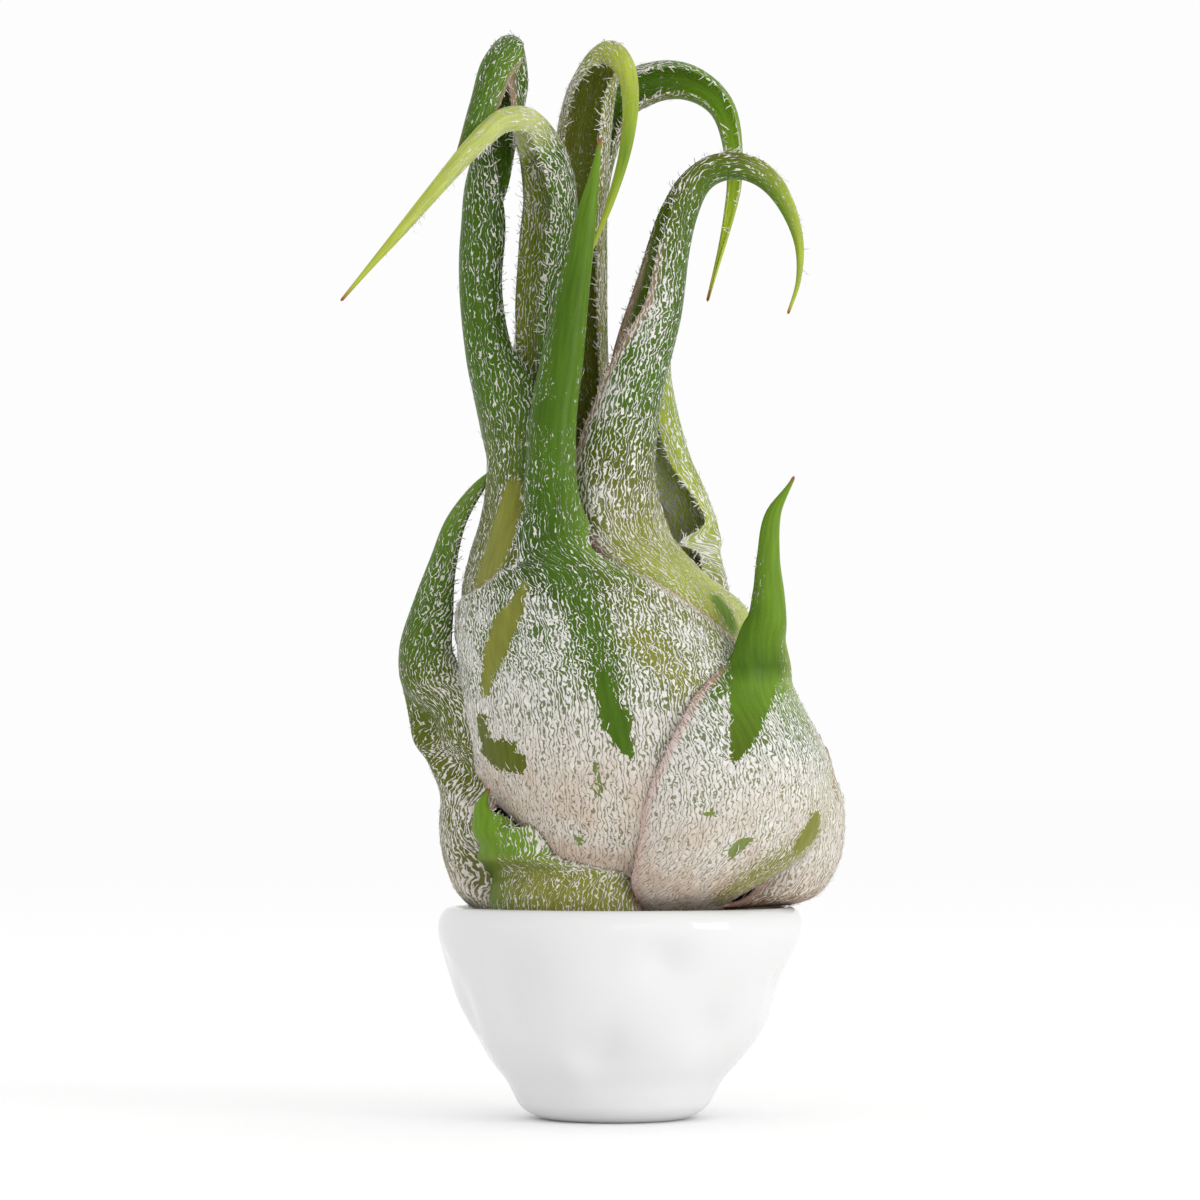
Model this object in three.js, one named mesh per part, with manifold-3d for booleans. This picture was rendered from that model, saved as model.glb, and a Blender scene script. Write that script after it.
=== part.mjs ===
// A potted air plant in a small white bowl: a swollen bulb of overlapping sheaths with long rolled leaves.
// Millimetres, +Z up. The origin is the centre of the bowl's flat foot; the plant is seen from -Y.

import * as THREE from 'three';
import { mergeVertices } from 'three/addons/utils/BufferGeometryUtils.js';
import Module from 'manifold-3d';

const wasm = await Module();
wasm.setup();

// Driving dimensions
const rimRadius = 40;          // widest part of the bowl, just below its lip
const bowlHeight = 46.4;
const footRadius = 14.5;       // flat part that the bowl stands on
const bowlWall = 4.4;
const bowlFloor = 6.5;         // height of the inside floor
const bowlLean = 1.5;          // how far the lip stands right of the foot
const contactGap = 0.35;       // air between pieces that touch
const sheathWall = 1.8;        // thickness of a leaf at its base
const bladeWallShare = 0.32;   // thickness of a blade as a share of its rolled radius
const thinnestBlade = 0.8;
const marginShare = 0.5;       // thickness of a leaf's margin as a share of its middle
const channelShare = 0.12;     // smallest inner radius of a rolled leaf as a share of its outer one
const smallestStep = 0.06;     // cut surfaces keep no finer detail than this
const leafSides = 8;           // facets across a leaf
const bowlSides = 36;
const stemSides = 12;

const porcelain = 0xf4f4f2;
const bark = 0x8a6f55;
const leafGreen = 0x86a05e;

const rad = THREE.MathUtils.degToRad;

// The bulb leans left as it rises: [height, x of its middle].
const bulbAxis = [
  [20, 0], [40, 2], [60, 4], [80, 3], [100, 0.5], [115, -2.5], [125, -6.5], [135, -9], [160, -10],
];

function axisX(z) {
  if (z <= bulbAxis[0][0]) return bulbAxis[0][1];
  for (let i = 1; i < bulbAxis.length; i += 1) {
    const [z0, x0] = bulbAxis[i - 1];
    const [z1, x1] = bulbAxis[i];
    if (z <= z1) return x0 + ((x1 - x0) * (z - z0)) / (z1 - z0);
  }
  return bulbAxis[bulbAxis.length - 1][1];
}

// Leaves, from the innermost to the outermost. A sheath row is [distance from the bulb's axis, height,
// reach to the left, reach to the right] of a point on the midrib, seen from outside, and its section is an
// arc round the axis. A blade row is [x, y, z, radius, direction of the back, tilt of the back, reach left,
// reach right] of the rolled section's centre. Angles are degrees; -90 faces the viewer, 0 the right.
const leaves = {
  leaf_inner_left: {
    azimuth: 35, roll: 9,
    sheath: [[9, 64, 90, 90], [10, 80, 90, 90], [9, 100, 90, 90]],
    blade: [
      [-6, -3, 122, 6.5, 35, 0, 100, 110], [-12.5, -6, 143, 5.8, 35, 0, 105, 112],
      [-16, -7.5, 160, 5.4, 35, 0, 112, 112], [-17, -8.5, 176, 5.8, 35, 0, 112, 112],
      [-15.6, -9, 191, 6.6, 35, 0, 112, 112], [-14.8, -9.5, 202, 6.7, 30, 5, 112, 112],
      [-16.4, -10.5, 211, 6.0, 25, 25, 115, 115], [-20, -12.5, 217.5, 4.4, 20, 60, 115, 115],
      [-25, -15, 217.5, 3.2, -100, 70, 120, 120], [-30.5, -18, 212, 2.5, -130, 50, 120, 120],
      [-37.5, -21, 203.5, 1.9, -140, 45, 125, 125], [-47, -25, 191.5, 1.2, -140, 45, 130, 130],
      [-58.5, -30, 177, 0.35, -140, 45, 135, 135],
    ],
  },
  leaf_top_back: {
    azimuth: 110, roll: 11,
    sheath: [[11, 60, 80, 60], [14, 74, 85, 70], [14, 96, 85, 80]],
    blade: [
      [-4, 7.5, 120, 7.6, 90, 0, 110, 110], [-6.5, 7, 142, 6.4, 90, 0, 125, 125],
      [-7.3, 6.8, 165, 5.6, 90, 0, 132, 132], [-7.6, 6.5, 188, 5.4, 90, 0, 135, 135],
      [-7.6, 6, 205, 6, 88, 0, 138, 138], [-6.6, 4.5, 219, 6.1, 85, 10, 138, 138],
      [-4.4, 1.5, 229, 5.2, 75, 32, 138, 138], [-1, -3.5, 234.5, 3.6, 20, 75, 138, 138],
      [2.6, -8.5, 230.5, 2.3, -75, 35, 135, 135], [3.6, -11, 222, 1.8, -85, 5, 135, 135],
      [2.2, -12.5, 211, 1.3, -85, 0, 135, 135], [-1.4, -13.5, 199, 0.8, -85, 0, 135, 135],
      [-5.8, -14, 188, 0.35, -85, 0, 135, 135],
    ],
  },
  leaf_arching_back: {
    azimuth: 62, roll: 13,
    sheath: [[13, 56, 70, 70], [19, 68, 75, 75], [21.5, 94, 75, 75]],
    blade: [
      [-1.5, 17, 118, 7, 80, 0, 100, 100], [-4.5, 20, 142, 5.8, 88, 0, 120, 120],
      [-6.4, 20.5, 166, 5.4, 90, 0, 130, 130], [-6.6, 20.5, 190, 5.2, 92, 0, 135, 135],
      [-6, 19.5, 210, 5.2, 95, 2, 135, 135], [-0.5, 18.5, 226.5, 5, 95, 8, 138, 138],
      [8.5, 17.5, 232.3, 4.7, 92, 10, 138, 138], [17.5, 16.8, 232, 4.1, 88, 8, 138, 138],
      [25, 16, 225.5, 2.9, 85, 0, 138, 138], [27.3, 15.5, 212, 1.9, 85, 0, 138, 138],
      [25.8, 15, 200.5, 1.2, 85, 0, 138, 138], [21.2, 14.5, 182.5, 0.35, 85, 0, 138, 138],
    ],
  },
  leaf_hidden_left: {
    azimuth: 132, roll: 30,
    sheath: [
      [10, 49, 60, 60], [17, 53, 60, 70], [23.5, 63, 56, 75], [27.5, 78, 48, 75], [28.2, 92, 46, 75],
      [28, 105, 46, 70], [26, 116, 52, 65], [22, 126, 60, 65],
    ],
    blade: [
      [-15.5, 10.5, 137, 8.6, 128, 0, 80, 80], [-18, 14, 150, 6, 125, 0, 115, 115],
      [-18.5, 18, 164, 5, 122, -3, 130, 130], [-18, 23, 176, 4.4, 118, -20, 135, 135],
      [-18, 31, 184, 3.8, 110, -55, 135, 135], [-18.5, 40, 184.5, 3.1, -70, -75, 135, 135],
      [-20, 47, 177.5, 2.3, -75, -25, 135, 135], [-21.5, 51, 166, 1.4, -75, -8, 135, 135],
      [-22.5, 52, 152, 0.35, -75, 0, 135, 135],
    ],
  },
  leaf_behind_right: {
    azimuth: 42, roll: 24,
    sheath: [
      [10, 48, 60, 60], [17, 52, 70, 60], [23.5, 62, 78, 60], [27.5, 77, 84, 46], [28.4, 92, 84, 44],
      [28.4, 104, 72, 44], [30.2, 113, 60, 46], [32, 120, 52, 50],
    ],
    blade: [
      [6.5, 5.5, 124, 17.5, 38, 2, 50, 54], [12.6, 8.5, 129, 11.2, 34, 4, 62, 66],
      [14.2, 9.5, 137, 7.2, 32, 0, 84, 84], [11.2, 10.5, 147, 5.7, 28, 0, 115, 115],
      [8.8, 13, 160, 4.9, 40, 0, 130, 130], [8.8, 18, 171.5, 4.4, 70, -18, 135, 135],
      [9.2, 26, 180, 3.8, 85, -50, 135, 135], [9.8, 35.5, 182, 3.2, -90, -80, 135, 135],
      [10, 44.5, 176.5, 2.5, -90, -38, 135, 135], [10, 49.5, 166.5, 1.7, -90, -12, 135, 135],
      [9.5, 51, 153.5, 0.35, -90, 0, 135, 135],
    ],
  },
  leaf_folded_left: {
    azimuth: -160, roll: 31,
    sheath: [
      [12, 51, 65, 65], [20, 55, 76, 75], [26.5, 65, 80, 80], [30.4, 79, 84, 80], [30.8, 93, 84, 80],
      [31.4, 105, 84, 78], [31.8, 111, 84, 76], [30.4, 117, 84, 76], [26.2, 123.5, 84, 76],
      [21.5, 132, 84, 78],
    ],
    blade: [
      [-12.5, -1.5, 142, 16.5, -160, 0, 84, 80], [-17, -3, 151, 12.5, -158, 0, 92, 88],
      [-22.5, -4, 159.5, 8.6, -158, 0, 110, 104], [-26.9, -4, 168, 5.9, -158, 0, 125, 118],
      [-29, -4, 182, 5.2, -158, 0, 128, 125], [-28.6, -4, 195, 5.4, -160, 0, 130, 130],
      [-27.6, -4, 207, 5.1, 170, 0, 130, 130], [-25.6, -4, 217.5, 4.7, 100, 0, 130, 130],
      [-23.4, -4, 227.3, 4.3, 40, 15, 130, 130], [-23, -7.5, 234.6, 3.9, -20, 72, 130, 130],
      [-25.6, -12.5, 230.5, 3.7, -120, 30, 125, 125], [-28.4, -14.4, 222, 3.2, -125, 8, 125, 125],
      [-31.6, -15.2, 214.5, 2.0, -125, 5, 130, 130], [-35.8, -16, 206.5, 0.35, -125, 5, 135, 135],
    ],
  },
  leaf_arching_right: {
    azimuth: -35, roll: 32,
    sheath: [
      [12, 49, 60, 65], [20, 53, 40, 70], [26.5, 64, 40, 76], [30.4, 79, 38, 76], [30.8, 93, 38, 78],
      [30.8, 104, 38, 76], [31, 112, 40, 50], [26.4, 119.3, 44, 24], [20.8, 127, 52, 40],
    ],
    blade: [
      [-4.5, -4, 136, 14.6, -28, 0, 82, 66], [-0.8, -6, 147, 10, -8, 0, 126, 84],
      [2.9, -8, 160, 8.1, 8, 0, 138, 116], [8.2, -8, 175.5, 6.5, 22, 0, 132, 132],
      [11.7, -8, 190.5, 4.9, 24, -5, 138, 138], [14.8, -8, 200.5, 4.3, 24, -30, 138, 138],
      [20, -8, 208, 3.8, 20, -65, 138, 138], [27.5, -8, 209.6, 3.2, -170, -80, 138, 138],
      [34, -8, 206.5, 2.7, -165, -50, 138, 138], [38.4, -8, 200, 1.9, -165, -20, 138, 138],
      [40.8, -8, 192, 1.1, -165, -5, 138, 138], [40.6, -8, 184, 0.6, -165, 5, 138, 138],
      [38.4, -8, 177, 0.35, -165, 10, 138, 138],
    ],
  },
  leaf_back: {
    azimuth: 94, roll: 33,
    sheath: [
      [12, 44, 60, 60], [21, 46.5, 72, 72], [29, 52.5, 78, 78], [33.6, 62, 82, 82], [35.6, 72, 84, 84],
      [36, 83, 84, 84], [35, 94, 80, 80], [33.6, 103, 72, 72],
    ],
    blade: [
      [-3, 6.5, 110.5, 24, 92, 18, 62, 62], [-4.5, 14.5, 117.5, 14.5, 92, 22, 62, 62],
      [-5.5, 22.5, 125, 7.8, 92, 14, 84, 84], [-6, 26, 135, 5.4, 92, 0, 120, 120],
      [-6, 29.5, 146, 4.7, 92, -15, 130, 130], [-6, 36, 156, 4, 92, -40, 135, 135],
      [-6, 45, 160, 3.2, -88, -82, 135, 135], [-6, 52.5, 155, 2.4, -88, -45, 135, 135],
      [-6, 56.5, 146, 1.5, -88, -12, 135, 135], [-6, 57, 135, 0.35, -88, 5, 135, 135],
    ],
  },
  leaf_left: {
    azimuth: 180, roll: 18,
    sheath: [
      [12, 43, 60, 50], [21, 43, 70, 46], [31, 44.2, 90, 48], [37.4, 48.6, 100, 52], [41, 56, 102, 56],
      [42.2, 64, 104, 58], [42, 71, 104, 60], [44.2, 78, 100, 64],
    ],
    blade: [
      [-27, 0, 82.4, 17, 180, 0, 96, 74], [-31.4, 0, 87.2, 14, 180, -2, 100, 90],
      [-38.3, 0.5, 95, 9, 178, 0, 120, 124], [-40.5, 0.5, 103, 7, 178, 8, 135, 140],
      [-39.4, 1, 112.5, 5.2, 178, 14, 140, 145], [-37.2, 1, 122, 3.8, 178, 18, 125, 125],
      [-34.6, 0.5, 131, 2.8, 178, 28, 125, 125], [-29.8, -0.5, 138.8, 1.6, 175, 45, 130, 130],
      [-23.7, -2, 144.5, 0.35, 170, 50, 135, 135],
    ],
  },
  leaf_front: {
    azimuth: -93, roll: 40,
    sheath: [
      [12, 46, 50, 60], [21, 49, 34, 66], [28.5, 53.5, 30, 70], [32.8, 61, 44, 68], [35, 70, 62, 70],
      [36, 82, 80, 76], [36.4, 94, 87, 84], [35.8, 103.5, 87, 58], [34.6, 109.5, 86, 45],
      [33.6, 113.3, 76, 34], [32.5, 116, 54, 28],
    ],
    blade: [
      [-6, -5, 119.3, 26, -92, 0, 48, 23], [-10, -11, 122.5, 18, -92, 0, 47, 21],
      [-12.8, -16.5, 126, 10.5, -91, 2, 54, 46], [-13.3, -20, 132, 6.8, -90, 4, 104, 104],
      [-13.8, -19.8, 140, 5.7, -90, 2, 128, 128], [-13.2, -20, 153, 5.1, -90, 0, 132, 132],
      [-11.2, -20.6, 166, 4.6, -90, 0, 132, 132], [-8.9, -21.4, 180, 3.5, -90, 0, 135, 135],
      [-6.2, -22.4, 195.5, 2.3, -90, 0, 138, 138], [-4.3, -23.4, 205, 1.1, -90, 0, 138, 138],
      [-3.1, -24.3, 212.4, 0.35, -90, 0, 138, 138],
    ],
  },
  leaf_low_back_left: {
    azimuth: 142, roll: 27,
    sheath: [
      [12, 39.5, 60, 50], [21, 40, 65, 50], [29, 43, 70, 46], [35, 50, 72, 44], [38.4, 59, 72, 44],
      [39.4, 69, 66, 44], [39, 78, 52, 46],
    ],
    blade: [
      [-26.8, 24, 87, 6.5, 142, 8, 76, 76], [-29.4, 26, 94, 3.2, 142, 8, 110, 110],
      [-29.6, 26, 102, 1.9, 142, 10, 130, 130], [-27, 24.5, 110, 0.35, 142, 20, 130, 130],
    ],
  },
  leaf_low_back_right: {
    azimuth: 48, roll: 27,
    sheath: [
      [12, 37.5, 60, 60], [21, 38.5, 65, 65], [29, 43, 70, 70], [35, 50, 74, 74], [38.6, 59, 74, 74],
      [40, 70, 68, 68], [39, 80, 52, 52],
    ],
    blade: [
      [27.2, 27, 89, 6, 48, 10, 76, 76], [28, 28.4, 96, 3, 48, 14, 110, 110],
      [26.5, 28, 104, 1.8, 48, 22, 130, 130], [23, 26, 112, 0.35, 48, 35, 130, 130],
    ],
  },
  leaf_low_right: {
    azimuth: 6, roll: 17,
    sheath: [
      [12, 44.8, 60, 60], [21, 45.6, 65, 65], [31, 46.2, 76, 70], [38.6, 47.1, 84, 80], [43.6, 49.8, 86, 85],
      [46.3, 56, 85, 85], [47.2, 63, 82, 82], [47.4, 70, 80, 80], [45.8, 75, 72, 72],
    ],
    blade: [
      [41.6, 2, 78, 6.4, 4, 24, 70, 70], [44.2, 0.6, 81, 2.4, 0, 26, 90, 90],
      [45.2, -0.6, 84, 0.35, -4, 26, 100, 100],
    ],
  },
  leaf_low_front: {
    azimuth: -146, roll: 27,
    sheath: [
      [12, 38, 30, 60], [21, 38, 22, 66], [28.5, 39.5, 18, 72], [33.6, 43.5, 16, 76], [35, 48, 15, 76],
      [34.4, 51.5, 17, 70], [33.4, 54.3, 20, 62],
    ],
    blade: [
      [-8, -5.6, 57, 24, -147, 0, 18, 48], [-14, -10.5, 59.5, 17, -148, 0, 17, 54],
      [-20.8, -14.6, 62, 10.5, -149, 2, 18, 70], [-25.3, -17.4, 65, 5.4, -149, 4, 28, 100],
      [-27.4, -19.2, 68.5, 2.6, -146, 8, 60, 80], [-27, -20, 72, 0.35, -142, 16, 120, 120],
    ],
  },
  leaf_front_right: {
    azimuth: -38, roll: 28,
    sheath: [
      [12, 41, 44, 20], [21, 43, 44, 4], [29.5, 46.6, 47, -4], [38, 51.5, 67, -1], [45, 59.5, 78, 22],
      [48.4, 69.5, 79, 47], [47.4, 80, 66, 60], [43, 90, 45, 60],
    ],
    blade: [
      [19.3, -13.5, 94.5, 20, -40, 0, 47, 50], [25.5, -17.5, 98.5, 13, -45, 0, 53, 55],
      [29.5, -22.5, 103, 7.5, -48, 2, 70, 60], [32.4, -25.6, 108, 4.6, -50, 4, 100, 95],
      [33, -26.8, 114, 3.5, -50, 4, 120, 120], [33, -27.6, 122, 2.5, -46, 0, 130, 130],
      [34.2, -28.4, 131, 1.6, -46, 15, 135, 135], [38.2, -30, 138.5, 0.35, -80, 40, 135, 135],
    ],
  },
};

// Sections of a leaf, one for each row: midrib, direction of the back, radius, and arc length to each side.
function leafStations({ azimuth, roll, sheath, blade }) {
  const away = new THREE.Vector3(Math.cos(rad(azimuth)), Math.sin(rad(azimuth)), 0);
  const stations = sheath.map(([distance, height, left, right]) => {
    const midrib = away.clone().multiplyScalar(distance);
    midrib.x += axisX(height);
    midrib.z = height;
    return { midrib, radius: Math.min(distance, roll), back: away, left, right };
  });
  for (const [x, y, z, radius, direction, tilt, left, right] of blade) {
    const back = new THREE.Vector3(
      Math.cos(rad(direction)) * Math.cos(rad(tilt)),
      Math.sin(rad(direction)) * Math.cos(rad(tilt)),
      Math.sin(rad(tilt)),
    );
    const midrib = new THREE.Vector3(x, y, z).addScaledVector(back, radius);
    stations.push({ midrib, radius, back, left, right });
  }
  return stations.map((s) => ({ ...s, left: s.radius * rad(s.left), right: s.radius * rad(s.right) }));
}

function throughPoints(a, b, c, d, t) {
  const square = 2 * a - 5 * b + 4 * c - d;
  const cube = 3 * b - a - 3 * c + d;
  return 0.5 * (2 * b + (c - a) * t + square * t * t + cube * t * t * t);
}

// A smooth reading of the stations at a place between them.
function readStations(stations, place) {
  const last = stations.length - 1;
  const i = Math.min(Math.floor(place), last - 1);
  const t = place - i;
  const near = [-1, 0, 1, 2].map((k) => stations[THREE.MathUtils.clamp(i + k, 0, last)]);
  const mix = (get) => throughPoints(...near.map(get), t);
  const mixVector = (get) => new THREE.Vector3(
    mix((s) => get(s).x),
    mix((s) => get(s).y),
    mix((s) => get(s).z),
  );
  const radius = Math.exp(mix((s) => Math.log(s.radius)));
  return {
    midrib: mixVector((s) => s.midrib),
    back: mixVector((s) => s.back).normalize(),
    radius,
    left: mix((s) => s.left) / radius,
    right: mix((s) => s.right) / radius,
  };
}

// Frames along a leaf. A sheath has level sections; a blade's sections stand square to its run, and its first
// three lie between.
function leafFrames(stations, sheathRows) {
  const last = stations.length - 1;
  const small = 0.05;
  const up = new THREE.Vector3(0, 0, 1);
  return stations.map((station, place) => {
    const here = readStations(stations, place);
    const low = readStations(stations, Math.max(place - small, 0));
    const high = readStations(stations, Math.min(place + small, last));
    const level = 1 - THREE.MathUtils.smoothstep(place, sheathRows, sheathRows + 3);
    const step = high.midrib.clone().sub(low.midrib);
    const run = step.clone().normalize();
    const along = run.clone().lerp(up, level).normalize();
    const across = new THREE.Vector3().crossVectors(along, here.back).normalize();
    const back = new THREE.Vector3().crossVectors(across, along);
    return { ...here, step, growth: high.radius - low.radius, run, along, across, back };
  });
}

// A closed leaf: rings of an outer arc and an inner arc. With grow above zero it is swollen all round.
function leafGeometry(spec, grow = 0) {
  const frames = leafFrames(leafStations(spec), spec.sheath.length);
  const ring = 2 * (leafSides + 1);
  const positions = [];
  frames.forEach((f, k) => {
    const wall = Math.min(sheathWall, Math.max(thinnestBlade, f.radius * bladeWallShare));
    const slip = k === 0 ? -grow : k === frames.length - 1 ? grow : 0;
    const put = (offset, angle) => {
      const outward = f.back.clone().multiplyScalar(Math.cos(angle));
      outward.addScaledVector(f.across, Math.sin(angle));
      const step = outward.clone().sub(f.back).multiplyScalar(f.growth).add(f.step);
      const normal = outward.clone().multiplyScalar(step.dot(f.along));
      normal.addScaledVector(f.along, -step.dot(outward)).normalize();
      const p = f.midrib.clone().addScaledVector(f.back, -f.radius).addScaledVector(outward, f.radius);
      p.addScaledVector(normal, offset).addScaledVector(f.run, slip);
      positions.push(p.x, p.y, p.z);
    };
    const spare = grow / f.radius;
    const angles = [];
    for (let j = 0; j <= leafSides; j += 1) {
      const share = j / leafSides;
      angles.push(-(f.left + spare) + (f.left + f.right + 2 * spare) * share);
    }
    angles.forEach((angle) => put(grow, angle));
    angles.toReversed().forEach((angle, j) => {
      const edge = Math.abs((2 * j) / leafSides - 1) ** 4;
      const inner = wall * (1 - (1 - marginShare) * edge) + grow;
      put(-Math.min(inner, f.radius * (1 - channelShare)), angle);
    });
  });
  const index = [];
  for (let k = 0; k + 1 < frames.length; k += 1) {
    for (let j = 0; j < ring; j += 1) {
      const a = k * ring + j;
      const b = k * ring + ((j + 1) % ring);
      index.push(a, b, b + ring, a, b + ring, a + ring);
    }
  }
  const cap = (start, flip) => {
    for (let j = 0; j < leafSides; j += 1) {
      const quad = [start + j, start + j + 1, start + ring - 2 - j, start + ring - 1 - j];
      const [a, b, c, d] = flip ? quad.toReversed() : quad;
      index.push(a, b, c, a, c, d);
    }
  };
  cap(0, true);
  cap((frames.length - 1) * ring, false);
  const geometry = new THREE.BufferGeometry();
  geometry.setAttribute('position', new THREE.Float32BufferAttribute(positions, 3));
  geometry.setIndex(index);
  return geometry;
}

function toSolid(geometry) {
  const bare = geometry.clone();
  bare.deleteAttribute('normal');
  bare.deleteAttribute('uv');
  const merged = mergeVertices(bare, 1e-4);
  return new wasm.Manifold(new wasm.Mesh({
    numProp: 3,
    vertProperties: new Float32Array(merged.attributes.position.array),
    triVerts: new Uint32Array(merged.index.array),
  }));
}

function toGeometry(solid) {
  const mesh = solid.getMesh();
  const geometry = new THREE.BufferGeometry();
  geometry.setAttribute('position', new THREE.BufferAttribute(new Float32Array(mesh.vertProperties), 3));
  geometry.setIndex(new THREE.BufferAttribute(new Uint32Array(mesh.triVerts), 1));
  geometry.computeVertexNormals();
  return geometry;
}

// Soft presses in the bowl's wall: [direction in degrees, height, half-width in degrees, half-height, depth].
const presses = [
  [-152, 27, 15, 9, 1.3], [-108, 35, 20, 6, 0.8], [-83, 20, 22, 6, 0.9], [-48, 31, 14, 10, 1.1],
  [-8, 22, 24, 6, 1.0], [38, 33, 18, 7, 1.2], [88, 24, 20, 8, 1.0], [136, 34, 22, 7, 0.9],
  [176, 18, 18, 6, 1.1],
];

function pressDepth(direction, z) {
  return presses.reduce((sum, [at, height, halfWidth, halfHeight, depth]) => {
    const off = ((direction - at + 540) % 360) - 180;
    return sum + depth * Math.exp(-((off / halfWidth) ** 2) - ((z - height) / halfHeight) ** 2);
  }, 0);
}

function bowlGeometry() {
  const outside = [
    [0, 0], [footRadius, 0], [17.9, 0.9], [20.6, 2.8], [22.2, 5.5], [24.1, 8.8], [28, 13.2], [31.8, 18.3],
    [34.6, 24], [37, 31], [39.2, 37.5], [rimRadius, 41.6], [39.7, 44.2], [38.6, 45.9], [37.2, bowlHeight],
  ];
  const inside = [
    [36, 45.8], [35.5, 44], [rimRadius - bowlWall - 0.5, 38], [32.6, 31], [30.2, 24], [25.8, 17.5],
    [19, 11.5], [12, 7.8], [6, bowlFloor], [0, bowlFloor],
  ];
  const profile = [...outside, ...inside].map(([r, z]) => new THREE.Vector2(r, z));
  const geometry = new THREE.LatheGeometry(profile, bowlSides);
  geometry.rotateX(Math.PI / 2);
  const place = geometry.attributes.position;
  const pressed = 3;
  for (let i = 0; i < place.count; i += 1) {
    const [x, y, z] = [place.getX(i), place.getY(i), place.getZ(i)];
    const radius = Math.hypot(x, y);
    const outer = outside.some(([r, height]) => Math.abs(r - radius) < 0.01 && Math.abs(height - z) < 0.01);
    const dent = outer && z > pressed ? pressDepth(THREE.MathUtils.radToDeg(Math.atan2(y, x)), z) : 0;
    const scale = radius > 0 ? (radius - dent) / radius : 1;
    place.setXYZ(i, x * scale + bowlLean * (z / bowlHeight) ** 2, y * scale, z);
  }
  return geometry;
}

// A short woody stem that stands on the bowl's floor, in the middle of the leaves.
function stemGeometry() {
  const profile = [
    [0, 0], [4.2, 0], [5.4, 4], [6.2, 14], [7.2, 28], [7.6, 38], [6.6, 44], [4.5, 48], [0, 50],
  ].map(([r, z]) => new THREE.Vector2(r, z + bowlFloor + contactGap));
  const geometry = new THREE.LatheGeometry(profile, stemSides);
  geometry.rotateX(Math.PI / 2);
  const place = geometry.attributes.position;
  for (let i = 0; i < place.count; i += 1) place.setX(i, place.getX(i) + axisX(place.getZ(i)));
  return geometry;
}

const group = new THREE.Group();

function addPiece(name, geometry, color, roughness) {
  const mesh = new THREE.Mesh(geometry, new THREE.MeshStandardMaterial({ color, roughness, metalness: 0 }));
  mesh.name = name;
  group.add(mesh);
}

const bowl = toSolid(bowlGeometry());
const stem = toSolid(stemGeometry());
addPiece('bowl', toGeometry(bowl), porcelain, 0.15);
addPiece('stem', toGeometry(stem), bark, 0.9);

function largestBody(solid) {
  return solid.decompose().sort((a, b) => b.volume() - a.volume())[0];
}

// Each leaf gives way to the pieces inside it, and keeps its largest body.
let taken = bowl.add(stem);
for (const [name, spec] of Object.entries(leaves)) {
  const cut = toSolid(leafGeometry(spec)).subtract(taken).simplify(smallestStep);
  const leaf = largestBody(toSolid(toGeometry(largestBody(cut))));
  addPiece(name, toGeometry(leaf), leafGreen, 0.65);
  taken = taken.add(toSolid(leafGeometry(spec, contactGap))).add(leaf);
}

export default group;
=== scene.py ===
# Medusa's head air plant in a small porcelain bowl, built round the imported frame.
# Leaf rows are in millimetres, as in the part's source; meshes are in metres. The plant is seen from -Y.
import bpy
import math
import numpy as np
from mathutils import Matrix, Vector, noise
from mathutils.bvhtree import BVHTree


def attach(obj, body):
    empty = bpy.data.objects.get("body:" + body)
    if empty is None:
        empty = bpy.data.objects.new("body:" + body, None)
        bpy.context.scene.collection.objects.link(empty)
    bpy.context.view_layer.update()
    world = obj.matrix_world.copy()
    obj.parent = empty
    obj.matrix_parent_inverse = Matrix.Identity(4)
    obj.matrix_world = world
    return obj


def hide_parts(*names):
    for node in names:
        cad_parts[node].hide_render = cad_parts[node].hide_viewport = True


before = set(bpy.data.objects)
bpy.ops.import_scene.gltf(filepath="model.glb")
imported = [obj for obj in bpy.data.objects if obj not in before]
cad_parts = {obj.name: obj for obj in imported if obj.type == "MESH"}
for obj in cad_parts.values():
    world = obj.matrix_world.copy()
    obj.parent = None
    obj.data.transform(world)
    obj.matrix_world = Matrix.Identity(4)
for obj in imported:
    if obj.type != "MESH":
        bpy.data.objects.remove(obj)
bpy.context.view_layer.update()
mm = 0.001
print("frame loaded")

# Skin colours of the leaves, linear
skinColours = {
    "deep": (0.030, 0.070, 0.002), "green": (0.052, 0.115, 0.004), "bright": (0.120, 0.220, 0.014),
    "olive": (0.090, 0.108, 0.006), "moss": (0.180, 0.190, 0.026), "sage": (0.160, 0.210, 0.060),
    "lime": (0.360, 0.420, 0.045), "pale": (0.430, 0.480, 0.150), "straw": (0.300, 0.220, 0.110),
    "brown": (0.110, 0.058, 0.028), "rust": (0.280, 0.080, 0.025), "pink": (0.460, 0.270, 0.220),
}
feltColours = {"white": (0.700, 0.695, 0.660), "beige": (0.540, 0.440, 0.360), "pink": (0.560, 0.390, 0.340)}

# The bulb leans left as it rises: [height, x of its middle]
bulbAxis = [[20, 0], [40, 2], [60, 4], [80, 3], [100, 0.5], [115, -2.5], [125, -6.5], [135, -9], [160, -10]]

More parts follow.
